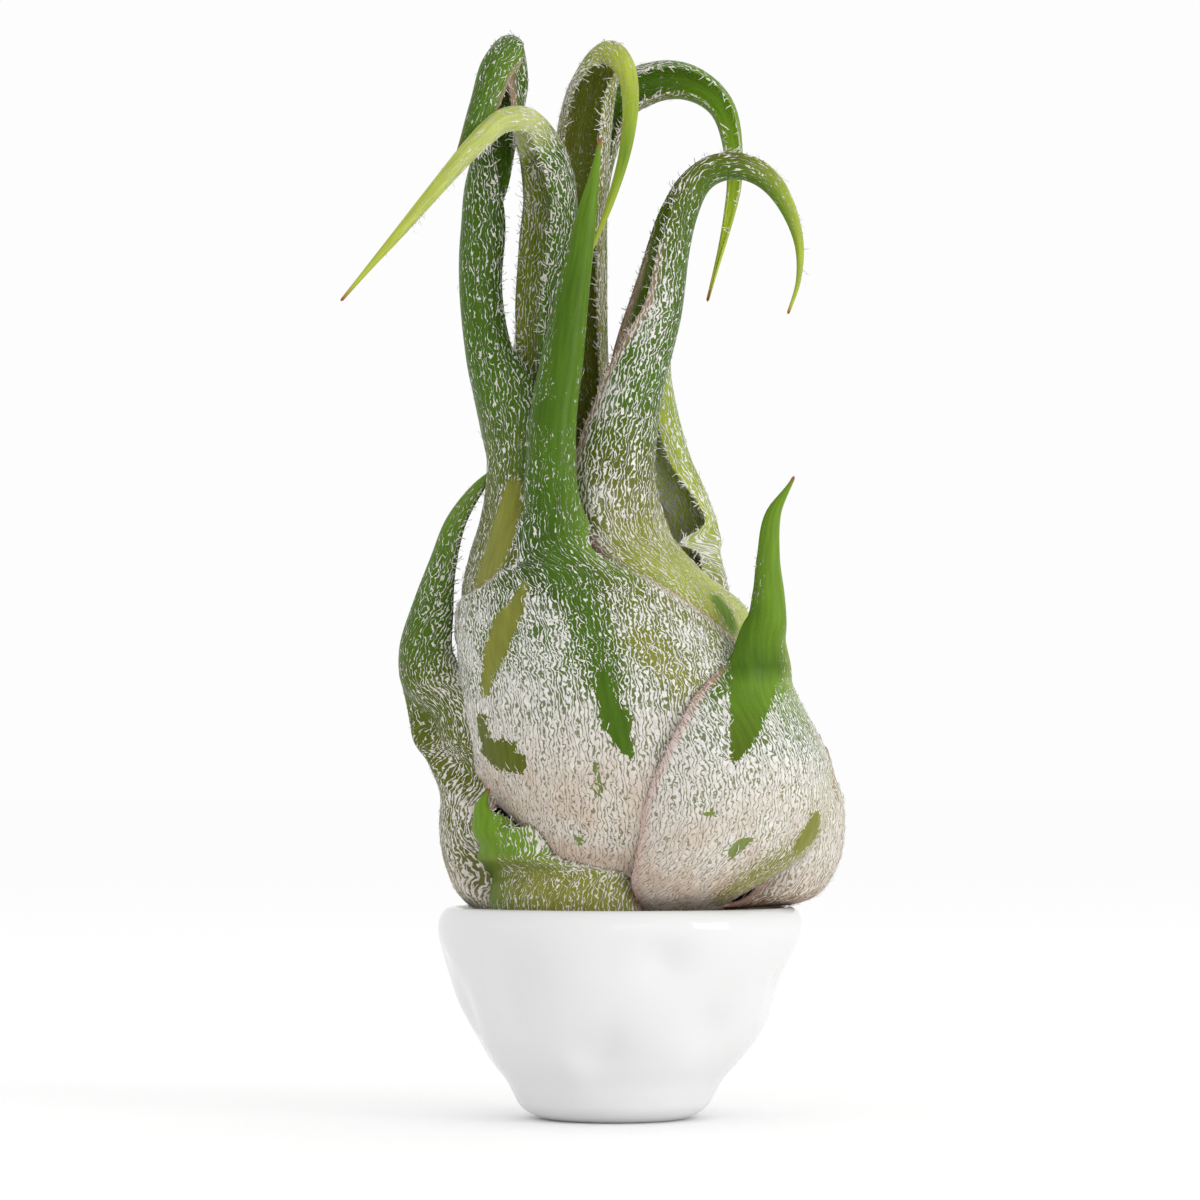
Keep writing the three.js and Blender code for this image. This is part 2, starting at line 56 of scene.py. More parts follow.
leafBuild = {
    "ringsPerRow": 8,        # rings between two rows of a leaf's table
    "sides": 60,             # faces across the outside of a leaf
    "sheathWall": 1.8,       # mm, thickness of a leaf at its base
    "bladeWallShare": 0.32,  # thickness of a blade as a share of its rolled radius
    "thinnestBlade": 0.8,
    "marginShare": 0.3,      # thickness of a margin as a share of the middle
    "marginPower": 5,        # the higher, the closer to its margins a leaf thins
    "marginRound": 0.9,      # how far a margin's rounding stands out, in halves of the wall
    "channelShare": 0.12,    # inner radius of a rolled leaf is never less than this share
    "wideRadius": (8, 14),   # mm: a blade has less than the first, a sheath more than the second
    "squareRows": 3,         # rows over which level sections turn square to the blade
    "unevenness": 0.5,       # mm, slow swellings of the sheaths
    "unevenSize": 14,        # mm between two swellings
    "gap": 0.12,             # mm of air between a sheath and the one under it
    "probeFrom": 5,          # mm from the bulb's axis where a search for a sheath starts
    "pressAtMost": 6.0,      # mm that a sheath gives way to the one over it
    "clingAtMost": 2.5,      # mm that a margin is drawn onto the sheath under it
    "clingBeyond": 2,        # mm further that it looks for one
    "clingShare": 0.6,       # share of the way to a margin where this starts
    "clingPower": 6,
}
sidePower = 1.3   # how values go from the middle of a leaf to its margins
barelyWide = 0.02
tiny = 1e-9


def axisX(z):
    return np.interp(z, [row[0] for row in bulbAxis], [row[1] for row in bulbAxis])


def smoothStep(low, high, x):
    t = np.clip((x - low) / (high - low), 0, 1)
    return t * t * (3 - 2 * t)


def unit(v):
    return v / np.maximum(np.linalg.norm(v, axis=-1, keepdims=True), tiny)


# Values between the rows of a table, on one smooth curve through all of them
def throughRows(rows, place):
    last = len(rows) - 1
    i = np.minimum(np.floor(place).astype(int), last - 1)
    t = (place - i)[:, None]
    a, b, c, d = (rows[np.clip(i + k, 0, last)] for k in (-1, 0, 1, 2))
    square, cube = 2 * a - 5 * b + 4 * c - d, 3 * b - a - 3 * c + d
    return 0.5 * (2 * b + (c - a) * t + square * t * t + cube * t ** 3)


# Sections of a leaf, one for each row: midrib, direction of the back, log of the radius, arcs to each side
def leafRows(leaf):
    a = math.radians(leaf["azimuth"])
    away = np.array([math.cos(a), math.sin(a), 0])
    rows = []
    for distance, height, left, *right in leaf["sheath"]:
        midrib = away * distance + np.array([axisX(height), 0, height])
        rows.append([*midrib, *away, min(distance, leaf["roll"]), left, *(right or [left])])
    for x, y, z, radius, direction, tilt, left, *right in leaf["blade"]:
        d, t = math.radians(direction), math.radians(tilt)
        back = np.array([math.cos(d) * math.cos(t), math.sin(d) * math.cos(t), math.sin(t)])
        rows.append([*(np.array([x, y, z]) + back * radius), *back, radius, left, *(right or [left])])
    rows = np.array(rows)
    rows[:, 7:] = np.radians(rows[:, 7:]) * rows[:, 6:7]
    rows[:, 6] = np.log(rows[:, 6])
    return rows


def readRows(rows, place):
    out = throughRows(rows, place)
    out[:, 3:6] = unit(out[:, 3:6])
    out[:, 6] = np.exp(out[:, 6])
    out[:, 7:] /= out[:, 6:7]
    return out


# A sheath has level sections; a blade's sections stand square to its run, and its first few lie between.
def leafFrames(rows, place, sheathRows):
    last = len(rows) - 1
    near = 0.05
    here = readRows(rows, place)
    low, high = readRows(rows, np.maximum(place - near, 0)), readRows(rows, np.minimum(place + near, last))
    level = 1 - smoothStep(sheathRows, sheathRows + leafBuild["squareRows"], place)[:, None]
    step, growth = high[:, :3] - low[:, :3], high[:, 6:7] - low[:, 6:7]
    run = unit(step)
    along = unit(run * (1 - level) + np.array([0, 0, 1]) * level)
    across = unit(np.cross(along, here[:, 3:6]))
    return here, step, growth, run, along, across, np.cross(across, along)


# A look table has rows of [row, left, middle, right], or of [row, value] where all three are the same. The
# value at the leaf's tip is added at its end.
def lookTable(table, place, tip):
    rows = [row if len(row) == 4 else [row[0]] + row[1:] * 3 for row in table]
    return rows + [[place[-1], tip, tip, tip]]


# The values of such a table at each ring, and at each share (-1 to 1) across it
def byRow(table, place, share):
    at = [row[0] for row in table]
    left, middle, right = (np.interp(place, at, [row[k] for row in table])[:, None] for k in (1, 2, 3))
    far = np.abs(share)[None, :] ** sidePower
    return np.where(share[None, :] < 0, middle + (left - middle) * far, middle + (right - middle) * far)


# Each leaf is a rolled sheet: an outer arc and an inner arc at every ring, joined by rounded margins.
def leafGrid(leaf):
    rows = leafRows(leaf)
    last = len(rows) - 1
    place = np.linspace(0, last, last * leafBuild["ringsPerRow"] + 1)
    here, step, growth, run, along, across, back = leafFrames(rows, place, len(leaf["sheath"]))
    share = np.linspace(-1, 1, leafBuild["sides"] + 1)
    left, right, radius = here[:, 7:8], here[:, 8:9], here[:, 6:7]
    angle = -left + (left + right) * (share[None, :] + 1) / 2
    outward = back[:, None, :] * np.cos(angle)[..., None] + across[:, None, :] * np.sin(angle)[..., None]
    outer = (here[:, :3] - back * radius)[:, None, :] + outward * radius[..., None]
    step = step[:, None, :] + (outward - back[:, None, :]) * growth[..., None]
    along = along[:, None, :]
    outward = outward * (step * along).sum(-1)[..., None] - along * (step * outward).sum(-1)[..., None]
    wall = np.clip(radius * leafBuild["bladeWallShare"], leafBuild["thinnestBlade"], leafBuild["sheathWall"])
    wall = wall * (1 - (1 - leafBuild["marginShare"]) * np.abs(share)[None, :] ** leafBuild["marginPower"])
    wall = np.minimum(wall, radius * (1 - leafBuild["channelShare"]))
    return {"place": place, "share": share, "outer": outer, "outward": unit(outward), "wall": wall,
            "wide": smoothStep(*leafBuild["wideRadius"], radius[:, 0]), "run": run, "radius": radius[:, 0],
            "angle": angle, "reachAcross": radius * (left + right) / 2}


def spread(field, steps):
    for step in range(steps):
        field = np.maximum(field, np.maximum(np.roll(field, 1, 1), np.roll(field, -1, 1)))
        padded = np.pad(field, ((1, 1), (0, 0)), mode="edge")
        field = np.maximum(field, np.maximum(padded[:-2], padded[2:]))
    return field


def soften(field, steps):
    for step in range(steps):
        padded = np.pad(field, 1, mode="edge")
        field = (padded[:-2, 1:-1] + padded[2:, 1:-1] + padded[1:-1, :-2] + padded[1:-1, 2:] + 4 * field) / 8
    return field


# Direction from the bulb's axis and distance from it, for points at their own heights
def fromAxis(points):
    axis = np.stack([axisX(points[..., 2]), np.zeros(points.shape[:-1]), points[..., 2]], -1)
    away = points - axis
    distance = np.linalg.norm(away, axis=-1)
    return axis, away / distance[..., None], distance


# A sheath is pressed in where a sheath over it needs the room.
def tuckUnder(grid, over):
    axis, away, distance = fromAxis(grid["outer"])
    probeFrom = leafBuild["probeFrom"]
    pull = np.zeros(distance.shape)
    for k, j in np.argwhere((distance > probeFrom + 1) & (grid["wide"][:, None] > barelyWide)):
        start, outwards = Vector(axis[k, j] + away[k, j] * probeFrom), Vector(away[k, j])
        for tree in over:
            hit, normal, index, travel = tree.ray_cast(start, outwards, distance[k, j] - (probeFrom - 1))
            if hit is not None:
                needed = distance[k, j] + leafBuild["gap"] - probeFrom - travel
                pull[k, j] = max(pull[k, j], min(needed, leafBuild["pressAtMost"]))
    pull = np.maximum(pull, soften(spread(pull, 2), 6)) * grid["wide"][:, None]
    grid["outer"] = grid["outer"] - away * pull[..., None]


# The margins of a sheath are drawn onto the sheaths under it.
def clingTo(grid, under):
    axis, away, distance = fromAxis(grid["outer"])
    atMost = leafBuild["clingAtMost"]
    toMargin = np.abs(grid["share"])[None, :]
    cling = np.zeros(distance.shape)
    for k, j in np.argwhere((toMargin > leafBuild["clingShare"]) & (grid["wide"][:, None] > barelyWide)):
        start, inwards = Vector(grid["outer"][k, j]), Vector(-away[k, j])
        room = atMost
        for tree in under:
            hit, normal, index, travel = tree.ray_cast(start, inwards, atMost + leafBuild["clingBeyond"])
            if hit is not None:
                room = min(room, max(travel - leafBuild["gap"] - grid["wall"][k, j], 0))
        cling[k, j] = room
    cling = soften(cling, 3) * toMargin ** leafBuild["clingPower"] * grid["wide"][:, None]
    grid["outer"] = grid["outer"] - away * cling[..., None]


# The closed mesh of a leaf. Its inner arc has half as many points as its outer one.
def leafMesh(grid):
    outer, outward, wall = grid["outer"], grid["outward"], grid["wall"]
    rings, n = outer.shape[0], outer.shape[1]
    inner = (outer - outward * wall[..., None])[:, ::-2]
    m = inner.shape[1]
    sideways = np.cross(grid["run"][:, None, :], outward)
    margins = []
    for side, j in ((1, -1), (-1, 0)):
        half = wall[:, j, None] * 0.5
        bulge = sideways[:, j] * half * leafBuild["marginRound"]
        margins.append(outer[:, j] - outward[:, j] * half + side * bulge)
    ring = np.concatenate([outer, margins[0][:, None], inner, margins[1][:, None]], 1)
    size = ring.shape[1]
    points = list(ring.reshape(-1, 3))
    faces = []
    for k in range(rings - 1):
        a = k * size
        for j in range(size):
            b = (j + 1) % size
            faces.append((a + j, a + b, a + b + size, a + j + size))
    top = (rings - 1) * size
    points.append(ring[-1].mean(0) + grid["run"][-1] * 0.5)
    for j in range(size):
        faces.append((top + j, top + (j + 1) % size, len(points) - 1))
    for j in range(m - 1):
        faces.append((n + 2 + j, n + 1 + j, n - 1 - 2 * j, n - 2 - 2 * j, n - 3 - 2 * j))
    faces.append((n + 1, n, n - 1))
    faces.append((0, size - 1, n + m))
    return np.array(points), faces


# A value for each vertex of a leaf's mesh, from its values on the outer arc and on the inner one
def roundRing(outerField, innerField):
    ring = np.concatenate([outerField, outerField[:, -1:], innerField[:, ::-2], outerField[:, :1]], 1)
    flat = ring.reshape(-1, *ring.shape[2:])
    return np.concatenate([flat, flat[-1:]], 0)


def newPiece(name, mesh):
    piece = bpy.data.objects.new(name, mesh)
    bpy.context.scene.collection.objects.link(piece)
    return piece


def meshObject(name, points, faces, smooth=True):
    mesh = bpy.data.meshes.new(name)
    mesh.from_pydata([tuple(p) for p in np.asarray(points) * mm], [], faces)
    mesh.polygons.foreach_set("use_smooth", [smooth] * len(mesh.polygons))
    mesh.update()
    return newPiece(name, mesh)


def storeValues(mesh, name, kind, values):
    attribute = mesh.attributes.new(name, kind, "POINT")
    key = {"FLOAT": "value", "FLOAT_VECTOR": "vector", "FLOAT_COLOR": "color"}[kind]
    attribute.data.foreach_set(key, np.asarray(values, dtype=np.float32).ravel())


leafLook = {
    "slowUneven": (6, 0.5),     # mm between thicker places of the felt, and how much they do
    "quickUneven": (1.8, 0.3),
    "patchSoftness": 2.6,       # mm from the inside of a bald patch to its outside
    "thinSoftness": 9.0,        # the same for a patch that keeps some hairs
    "patchEdge": (0.2, 0.6),    # depths in a patch over which its colour sets in
    "thinEdge": (0.2, 0.9),
    "hairEdge": (0.3, 0.7),     # and over which the hairs end
    "marginFelt": 0.55,         # felt on the margins of a smooth blade
    "marginReach": (1.1, 0.3),  # mm from a margin over which it grows
    "pinkWidth": 2.4,           # mm of pinkish skin beside a margin
    "pinkFelt": 0.8,            # share of this colour in the felt there
    "pinkSkin": 0.85,           # and in the skin
    "fringeWidth": 1.4,         # mm beside a margin where hairs stand outwards
    "fringeHairs": 1.3,
    "fringeTurn": 2.5,          # how far they turn from the run of the leaf
    "hairsPower": 1.5,          # the higher, the fewer hairs in thin felt
    "coverDepth": 2.2,          # mm: skin closer than this under another sheath has no hairs
    "insideHairs": 0.7,         # share of hairs inside a rolled leaf
    "paintedChannelLight": 1.8,        # painted light: the skin inside a rolled leaf is made this much lighter, against the shade that falls there
    "uvSize": 10,               # mm in one unit of the felt's pattern
    "bowlTop": 45,              # mm: skin below this height and within the bowl has no hairs
    "bowlInside": 37,
}


def mixColours(table, place, share):
    channels = []
    for c in range(3):
        rows = [[row[0]] + [skinColours[name][c] for name in row[1:]] for row in table]
        channels.append(byRow(rows, place, share))
    return np.stack(channels, -1)


def unevenField(points, size, seed):
    flat = points.reshape(-1, 3)
    values = [noise.noise(Vector((p[0] / size + seed, p[1] / size, p[2] / size))) for p in flat]
    return np.array(values).reshape(points.shape[:-1])


# How far inside a patch each point is, seen from the front: 1 well inside, 0.5 on its outline
def patchDepth(points, outward, line, softness):
    best = np.full(points.shape[:-1], -99.0)
    for (x0, z0, w0), (x1, z1, w1) in zip(line, line[1:]):
        dx, dz = x1 - x0, z1 - z0
        t = np.clip(((points[..., 0] - x0) * dx + (points[..., 2] - z0) * dz) / (dx * dx + dz * dz), 0, 1)
        away = np.hypot(points[..., 0] - x0 - dx * t, points[..., 2] - z0 - dz * t)
        best = np.maximum(best, w0 + (w1 - w0) * t - away)
    facesFront = outward[..., 1] < 0.3
    return np.clip(0.5 + best / softness, 0, 1) * facesFront


# 1 where another sheath lies close over the skin or the skin is down in the bowl, else 0
def hiddenSkin(grid, over):
    outer, outward = grid["outer"], grid["outward"]
    inBowl = np.hypot(outer[..., 0], outer[..., 1]) < leafLook["bowlInside"]
    inBowl &= outer[..., 2] < leafLook["bowlTop"]
    hidden = inBowl.astype(float)
    for k, j in np.argwhere(~inBowl):
        start, direction = Vector(outer[k, j] + outward[k, j] * 0.05), Vector(outward[k, j])
        if any(tree.ray_cast(start, direction, leafLook["coverDepth"])[0] is not None for tree in over):
            hidden[k, j] = 1
    return hidden


# How pinkish a leaf is beside its margins, between two rows of its table
def pinkField(leaf, place, edge):
    if "pink" not in leaf:
        return np.zeros(edge.shape)
    first, last, amount = leaf["pink"]
    pink = amount * smoothStep(first - 1, first, place) * smoothStep(last + 1.5, last, place)
    return pink[:, None] * smoothStep(leafLook["pinkWidth"], 0.3, edge)


# Where skin, felt, tints and hairs go on one leaf, as values on its outer grid
def leafValues(leaf, grid, over, seed):
    place, share, outer = grid["place"], grid["share"], grid["outer"]
    felt = byRow(lookTable(leaf["felt"], place, 0), place, share)
    skin = mixColours(lookTable(leaf["skin"], place, "rust"), place, share)
    (slowSize, slowShare), (quickSize, quickShare) = leafLook["slowUneven"], leafLook["quickUneven"]
    slow, quick = unevenField(outer, slowSize, seed), unevenField(outer, quickSize, seed + 7)
    felt = felt + (slow * slowShare + quick * quickShare) * felt * (1.1 - felt) * 2
    bald = np.zeros(felt.shape)
    for colour, kept, line in leaf.get("patches", []):
        kind = "thin" if kept else "patch"
        patch = patchDepth(outer, grid["outward"], line, leafLook[kind + "Softness"])
        inside = smoothStep(*leafLook[kind + "Edge"], patch)
        if colour:
            skin = skin + (np.array(skinColours[colour]) - skin) * inside[..., None]
        if kept:
            felt = felt * (1 - (1 - kept) * inside)
        else:
            bald = np.maximum(bald, patch)
    edge = (1 - np.abs(share)[None, :]) * grid["reachAcross"]
    onMargin = smoothStep(0.02, 0.1, felt) * leafLook["marginFelt"]
    onMargin = onMargin * smoothStep(*leafLook["marginReach"], edge)
    felt = np.clip(np.maximum(felt, onMargin), 0, 1)
    pink = pinkField(leaf, place, edge)[..., None]
    beige = np.interp(place, [row[0] for row in leaf["beige"]], [row[1] for row in leaf["beige"]])
    beige = np.clip(beige[:, None] * (1 + slow * 0.8), 0, 1)[..., None]
    white, tan, rosy = (np.array(feltColours[key]) for key in ("white", "beige", "pink"))
    tint = white + (tan - white) * beige
    tint = tint + (rosy - tint) * pink * leafLook["pinkFelt"]
    skin = skin + (np.array(skinColours["pink"]) - skin) * pink * leafLook["pinkSkin"]
    sideways = np.cross(grid["run"][:, None, :], grid["outward"]) * np.sign(share)[None, :, None]
    fringe = smoothStep(leafLook["fringeWidth"], 0.2, edge)
    comb = unit(unit(np.gradient(outer, axis=0)) + sideways * fringe[..., None] * leafLook["fringeTurn"])
    hairs = felt ** leafLook["hairsPower"] + fringe * leafLook["fringeHairs"] * np.sqrt(felt)
    hairs = hairs * (1 - hiddenSkin(grid, over)) * (1 - smoothStep(*leafLook["hairEdge"], bald))
    return {"felt": felt, "bald": bald, "tint": tint, "skin": skin, "comb": comb, "hairs": hairs}


def dressLeaf(piece, leaf, grid, values):
    mesh = piece.data
    inside = leaf["inside"]
    for name, inner in (("felt", 1), ("bald", 0), ("hairs", leafLook["insideHairs"])):
        storeValues(mesh, name, "FLOAT", roundRing(values[name], values[name] * inside * inner))
    storeValues(mesh, "comb", "FLOAT_VECTOR", roundRing(values["comb"], values["comb"]))
    # the skin on the inner face is painted lighter, against the shade that falls inside a rolled leaf
    for name, inner in (("skin", leafLook["paintedChannelLight"]), ("tint", 1)):
        opaque = np.concatenate([values[name], np.ones(values[name].shape[:2] + (1,))], -1)
        storeValues(mesh, name, "FLOAT_COLOR", roundRing(opaque, opaque * [inner, inner, inner, 1]))
    middle = grid["outer"][:, leafBuild["sides"] // 2]
    along = np.concatenate([[0], np.cumsum(np.linalg.norm(np.diff(middle, axis=0), axis=1))])
    u = grid["angle"] * np.maximum(grid["radius"], 4)[:, None] / leafLook["uvSize"]
    v = np.broadcast_to(along[:, None] / leafLook["uvSize"], u.shape)
    farAway = 20   # the inner face has another part of the pattern
    flat = roundRing(np.stack([u, v], -1), np.stack([u + farAway, v], -1))
    corners = np.zeros(len(mesh.loops), dtype=np.int32)
    mesh.loops.foreach_get("vertex_index", corners)
    mesh.uv_layers.new(name="leafUv").data.foreach_set("uv", flat[corners].astype(np.float32).ravel())


# Shader groups and materials
nodeRows = {"inRow": 8, "across": 220, "down": 330}   # where new nodes stand in a tree


# A socket as value is linked to the target, anything else becomes the target's own value.
def feed(tree, target, value):
    if isinstance(value, bpy.types.NodeSocket):
        tree.links.new(value, target)
    else:
        target.default_value = value


def addNode(tree, kind, inputs=None, **settings):
    number = len(tree.nodes)
    node = tree.nodes.new(kind)
    column, row = number % nodeRows["inRow"], number // nodeRows["inRow"]
    node.location = (column * nodeRows["across"], -row * nodeRows["down"])
    for key, value in settings.items():
        setattr(node, key, value)
    for key, value in (inputs or {}).items():
        feed(tree, node.inputs[key], value)
    return node


def mathNode(tree, operation, *values):
    return addNode(tree, "ShaderNodeMath", dict(enumerate(values)), operation=operation).outputs[0]


# A new shader group. An input is a number with the value given, or a vector where that is None
def shaderGroup(name, inputs, outputs):
    tree = bpy.data.node_groups.new(name, "ShaderNodeTree")
    for label, value in inputs.items():
        kind = "NodeSocketVector" if value is None else "NodeSocketFloat"
        socket = tree.interface.new_socket(label, in_out="INPUT", socket_type=kind)
        if value is not None:
            socket.default_value = value
    for label in outputs:
        tree.interface.new_socket(label, in_out="OUTPUT", socket_type="NodeSocketFloat")
    return tree, addNode(tree, "NodeGroupInput").outputs, addNode(tree, "NodeGroupOutput").inputs


strokeLook = {
    # a noise is (stretch along the leaf, offset, scale, detail, distortion)
    "teeth": (1, 11, 8, 3, 0.5), "teethDepth": 1.4,           # of a bald patch's outline
    "baldEdge": (0.42, 0.56),
    "bends": [((0.6, 57, 4, 1, 0.3), 3.4), ((0.7, 71, 12, 1, 0.3), 1.5)],   # of the strokes, with their depth
    "breaks": (0.7, 31, 11, 2, 0.3),                          # where a stroke narrows or ends
    "leastWidth": 0.02, "widening": 0.46, "lateWidening": 0.32, "latePower": 4,
    "strokeEdge": (-0.12, 0.16), "leastAmount": 0.03, "filmEdge": (0.5, 1.1),
    "shades": (0.5, 47, 12, 1, 0), "shadeDepth": 0.5, "darkest": 0.75,
}


# Wavy strokes along a leaf over a film of the finest hairs. They widen as Amount nears 1 and merge to a felt
# with slim gaps. Bald over about a half clears a patch with a jagged outline.
def makeFeltStrokes():
    tree, given, made = shaderGroup(
        "feltStrokes", {"Vector": None, "Amount": 0.5, "Bald": 0.0, "Stroke Scale": 8.0},
        ["Mask", "Film", "Shade", "Height"])
    look = strokeLook

    def noiseField(stretch, offset, scale, detail, distortion):
        moved = {0: given["Vector"], 1: (1, stretch, 1), 2: (offset, offset, 0)}
        moved = addNode(tree, "ShaderNodeVectorMath", moved, operation="MULTIPLY_ADD").outputs[0]
        inputs = {"Vector": moved, "Scale": scale, "Detail": detail, "Distortion": distortion}
        return addNode(tree, "ShaderNodeTexNoise", inputs).outputs[0]

    def softStep(value, low, high):
        inputs = {"From Min": low, "From Max": high, "Value": value}
        return addNode(tree, "ShaderNodeMapRange", inputs, interpolation_type="SMOOTHSTEP").outputs[0]

    def calc(operation, *values):
        return mathNode(tree, operation, *values)

    def aboutNought(field):
        return calc("SUBTRACT", noiseField(*field), 0.5)

    jagged = calc("MULTIPLY_ADD", aboutNought(look["teeth"]), look["teethDepth"], given["Bald"])
    amount = calc("MULTIPLY", given["Amount"], calc("SUBTRACT", 1, softStep(jagged, *look["baldEdge"])))
    parts = addNode(tree, "ShaderNodeSeparateXYZ", {0: given["Vector"]})
    across = calc("MULTIPLY", parts.outputs[0], given["Stroke Scale"])
    for field, depth in look["bends"]:
        across = calc("MULTIPLY_ADD", aboutNought(field), depth, across)
    fromMiddle = calc("MULTIPLY", calc("ABSOLUTE", calc("SUBTRACT", calc("FRACT", across), 0.5)), 2)
    late = calc("POWER", amount, look["latePower"])
    width = calc("MULTIPLY_ADD", late, look["lateWidening"], look["leastWidth"])
    width = calc("MULTIPLY_ADD", amount, look["widening"], width)
    width = calc("ADD", aboutNought(look["breaks"]), width)
    mask = softStep(calc("SUBTRACT", width, fromMiddle), *look["strokeEdge"])
    mask = calc("MULTIPLY", mask, calc("GREATER_THAN", amount, look["leastAmount"]))
    shade = calc("MULTIPLY_ADD", noiseField(*look["shades"]), look["shadeDepth"], look["darkest"])
    feed(tree, made["Mask"], mask)
    feed(tree, made["Film"], softStep(amount, *look["filmEdge"]))
    feed(tree, made["Shade"], shade)
    feed(tree, made["Height"], calc("MULTIPLY", mask, calc("SUBTRACT", 1, fromMiddle)))
    return tree


# Streaks and grain have a scale and a detail.
streakLook = {"streaks": (9, 3), "grain": (26, 2), "stretch": 0.12, "grainShare": 0.5}


# Slow streaks along a leaf and a fine grain, as a multiplier for its colour
def makeLeafStreaks():
    tree, given, made = shaderGroup("leafStreaks", {"Vector": None, "Strength": 0.3}, ["Shade", "Grain"])
    drawn = {0: given["Vector"], 1: (1, streakLook["stretch"], 1)}
    drawn = addNode(tree, "ShaderNodeVectorMath", drawn, operation="MULTIPLY").outputs[0]
    fields = []
    for vector, (scale, detail) in ((drawn, streakLook["streaks"]), (given["Vector"], streakLook["grain"])):
        inputs = {"Vector": vector, "Scale": scale, "Detail": detail}
        fields.append(addNode(tree, "ShaderNodeTexNoise", inputs).outputs[0])
    streaks, grain = (mathNode(tree, "SUBTRACT", field, 0.5) for field in fields)
    both = mathNode(tree, "ADD", streaks, mathNode(tree, "MULTIPLY", grain, streakLook["grainShare"]))
    feed(tree, made["Shade"], mathNode(tree, "MULTIPLY_ADD", both, given["Strength"], 1))
    feed(tree, made["Grain"], fields[1])
    return tree


def newMaterial(name, values):
    material = bpy.data.materials.new(name)
    material.use_nodes = True
    tree = material.node_tree
    inputs = tree.nodes["Principled BSDF"].inputs
    for key, value in values.items():
        inputs[key].default_value = value
    return material, tree, inputs


leafFinish = {
    "roughness": (0.42, 0.85),   # of bare skin and of felt
    "shine": 0.12, "streaks": 0.8, "strokeScale": 10.5, "filmShade": 0.55, "filmCover": 0.5,
    "feltHeight": 0.0001, "grainHeight": 0.00002,   # in metres
}


def makeLeafSkin():
    material, tree, skin = newMaterial("leafSkin", {"Specular IOR Level": leafFinish["shine"]})
    uv = addNode(tree, "ShaderNodeUVMap", uv_map="leafUv").outputs[0]
    read = {}
    for name in ("skin", "tint", "felt", "bald"):
        read[name] = addNode(tree, "ShaderNodeAttribute", attribute_name=name).outputs
    inputs = {"Vector": uv, "Amount": read["felt"]["Fac"], "Bald": read["bald"]["Fac"],
              "Stroke Scale": leafFinish["strokeScale"]}
    strokes = addNode(tree, "ShaderNodeGroup", inputs, node_tree=feltStrokes).outputs
    inputs = {"Vector": uv, "Strength": leafFinish["streaks"]}
    streaks = addNode(tree, "ShaderNodeGroup", inputs, node_tree=leafStreaks).outputs

    def scaled(colour, factor):
        inputs = {0: colour, "Scale": factor}
        return addNode(tree, "ShaderNodeVectorMath", inputs, operation="SCALE").outputs[0]

    def laidOver(ground, cover, amount):
        mix = addNode(tree, "ShaderNodeMix", {"Factor": amount, "A": ground, "B": cover}, data_type="RGBA")
        return mix.outputs["Result"]

    tint = read["tint"]["Color"]
    film = mathNode(tree, "MULTIPLY", strokes["Film"], leafFinish["filmCover"])
    bare = scaled(read["skin"]["Color"], streaks["Shade"])
    ground = laidOver(bare, scaled(tint, leafFinish["filmShade"]), film)
    colour = laidOver(ground, scaled(tint, strokes["Shade"]), strokes["Mask"])
    covered = mathNode(tree, "MAXIMUM", strokes["Mask"], strokes["Film"])
    inputs = dict(zip(("Value", "To Min", "To Max"), (covered, *leafFinish["roughness"])))
    rough = addNode(tree, "ShaderNodeMapRange", inputs).outputs[0]
    inputs = {"Distance": leafFinish["grainHeight"], "Height": streaks["Grain"]}
    fine = addNode(tree, "ShaderNodeBump", inputs).outputs[0]
    inputs = {"Distance": leafFinish["feltHeight"], "Height": strokes["Height"], "Normal": fine}
    raised = addNode(tree, "ShaderNodeBump", inputs).outputs[0]
    for key, value in (("Base Color", colour), ("Roughness", rough), ("Normal", raised)):
        feed(tree, skin[key], value)
    return material


hairFinish = {"Roughness": 0.75, "Specular IOR Level": 0.25}
glazeFinish = {"Base Color": (0.7, 0.7, 0.7, 1), "Roughness": 0.07, "Specular IOR Level": 0.35}
barkFinish = {"roughness": 0.9, "grainScale": 260, "colours": ((0.05, 0.03, 0.015, 1), (0.22, 0.14, 0.08, 1))}


def makeHairWhite():
    material, tree, hair = newMaterial("hairWhite", hairFinish)
    tint = addNode(tree, "ShaderNodeAttribute", attribute_name="tint")
    feed(tree, hair["Base Color"], tint.outputs["Color"])
    return material


def makeBark():
    material, tree, bark = newMaterial("dryBark", {"Roughness": barkFinish["roughness"]})
    coords = addNode(tree, "ShaderNodeTexCoord").outputs["Object"]
    grain = addNode(tree, "ShaderNodeTexNoise", {"Vector": coords, "Scale": barkFinish["grainScale"]})
    ramp = addNode(tree, "ShaderNodeValToRGB", {0: grain.outputs[0]})
    for element, colour in zip(ramp.color_ramp.elements, barkFinish["colours"]):
        element.color = colour
    feed(tree, bark["Base Color"], ramp.outputs[0])
    return material


feltStrokes, leafStreaks = makeFeltStrokes(), makeLeafStreaks()
leafSkin, hairWhite, dryBark = makeLeafSkin(), makeHairWhite(), makeBark()
whiteGlaze = newMaterial("whiteGlaze", glazeFinish)[0]
print("materials made")


# Hairs: short curly ribbons on the skin, combed along the leaf
hairs = {
    "perSquareMm": 0.5, "length": 1.9, "width": 0.19, "lift": 0.2, "curl": 1.6, "spreadDegrees": 34,
    "segments": 5, "seed": 4,
    "lengths": (0.55, 1.25), "lifts": (0.4, 1.3),   # shortest and longest, lowest and highest, as shares
    "taper": 0.6, "archAngle": 2.7, "curlScale": 900,
}


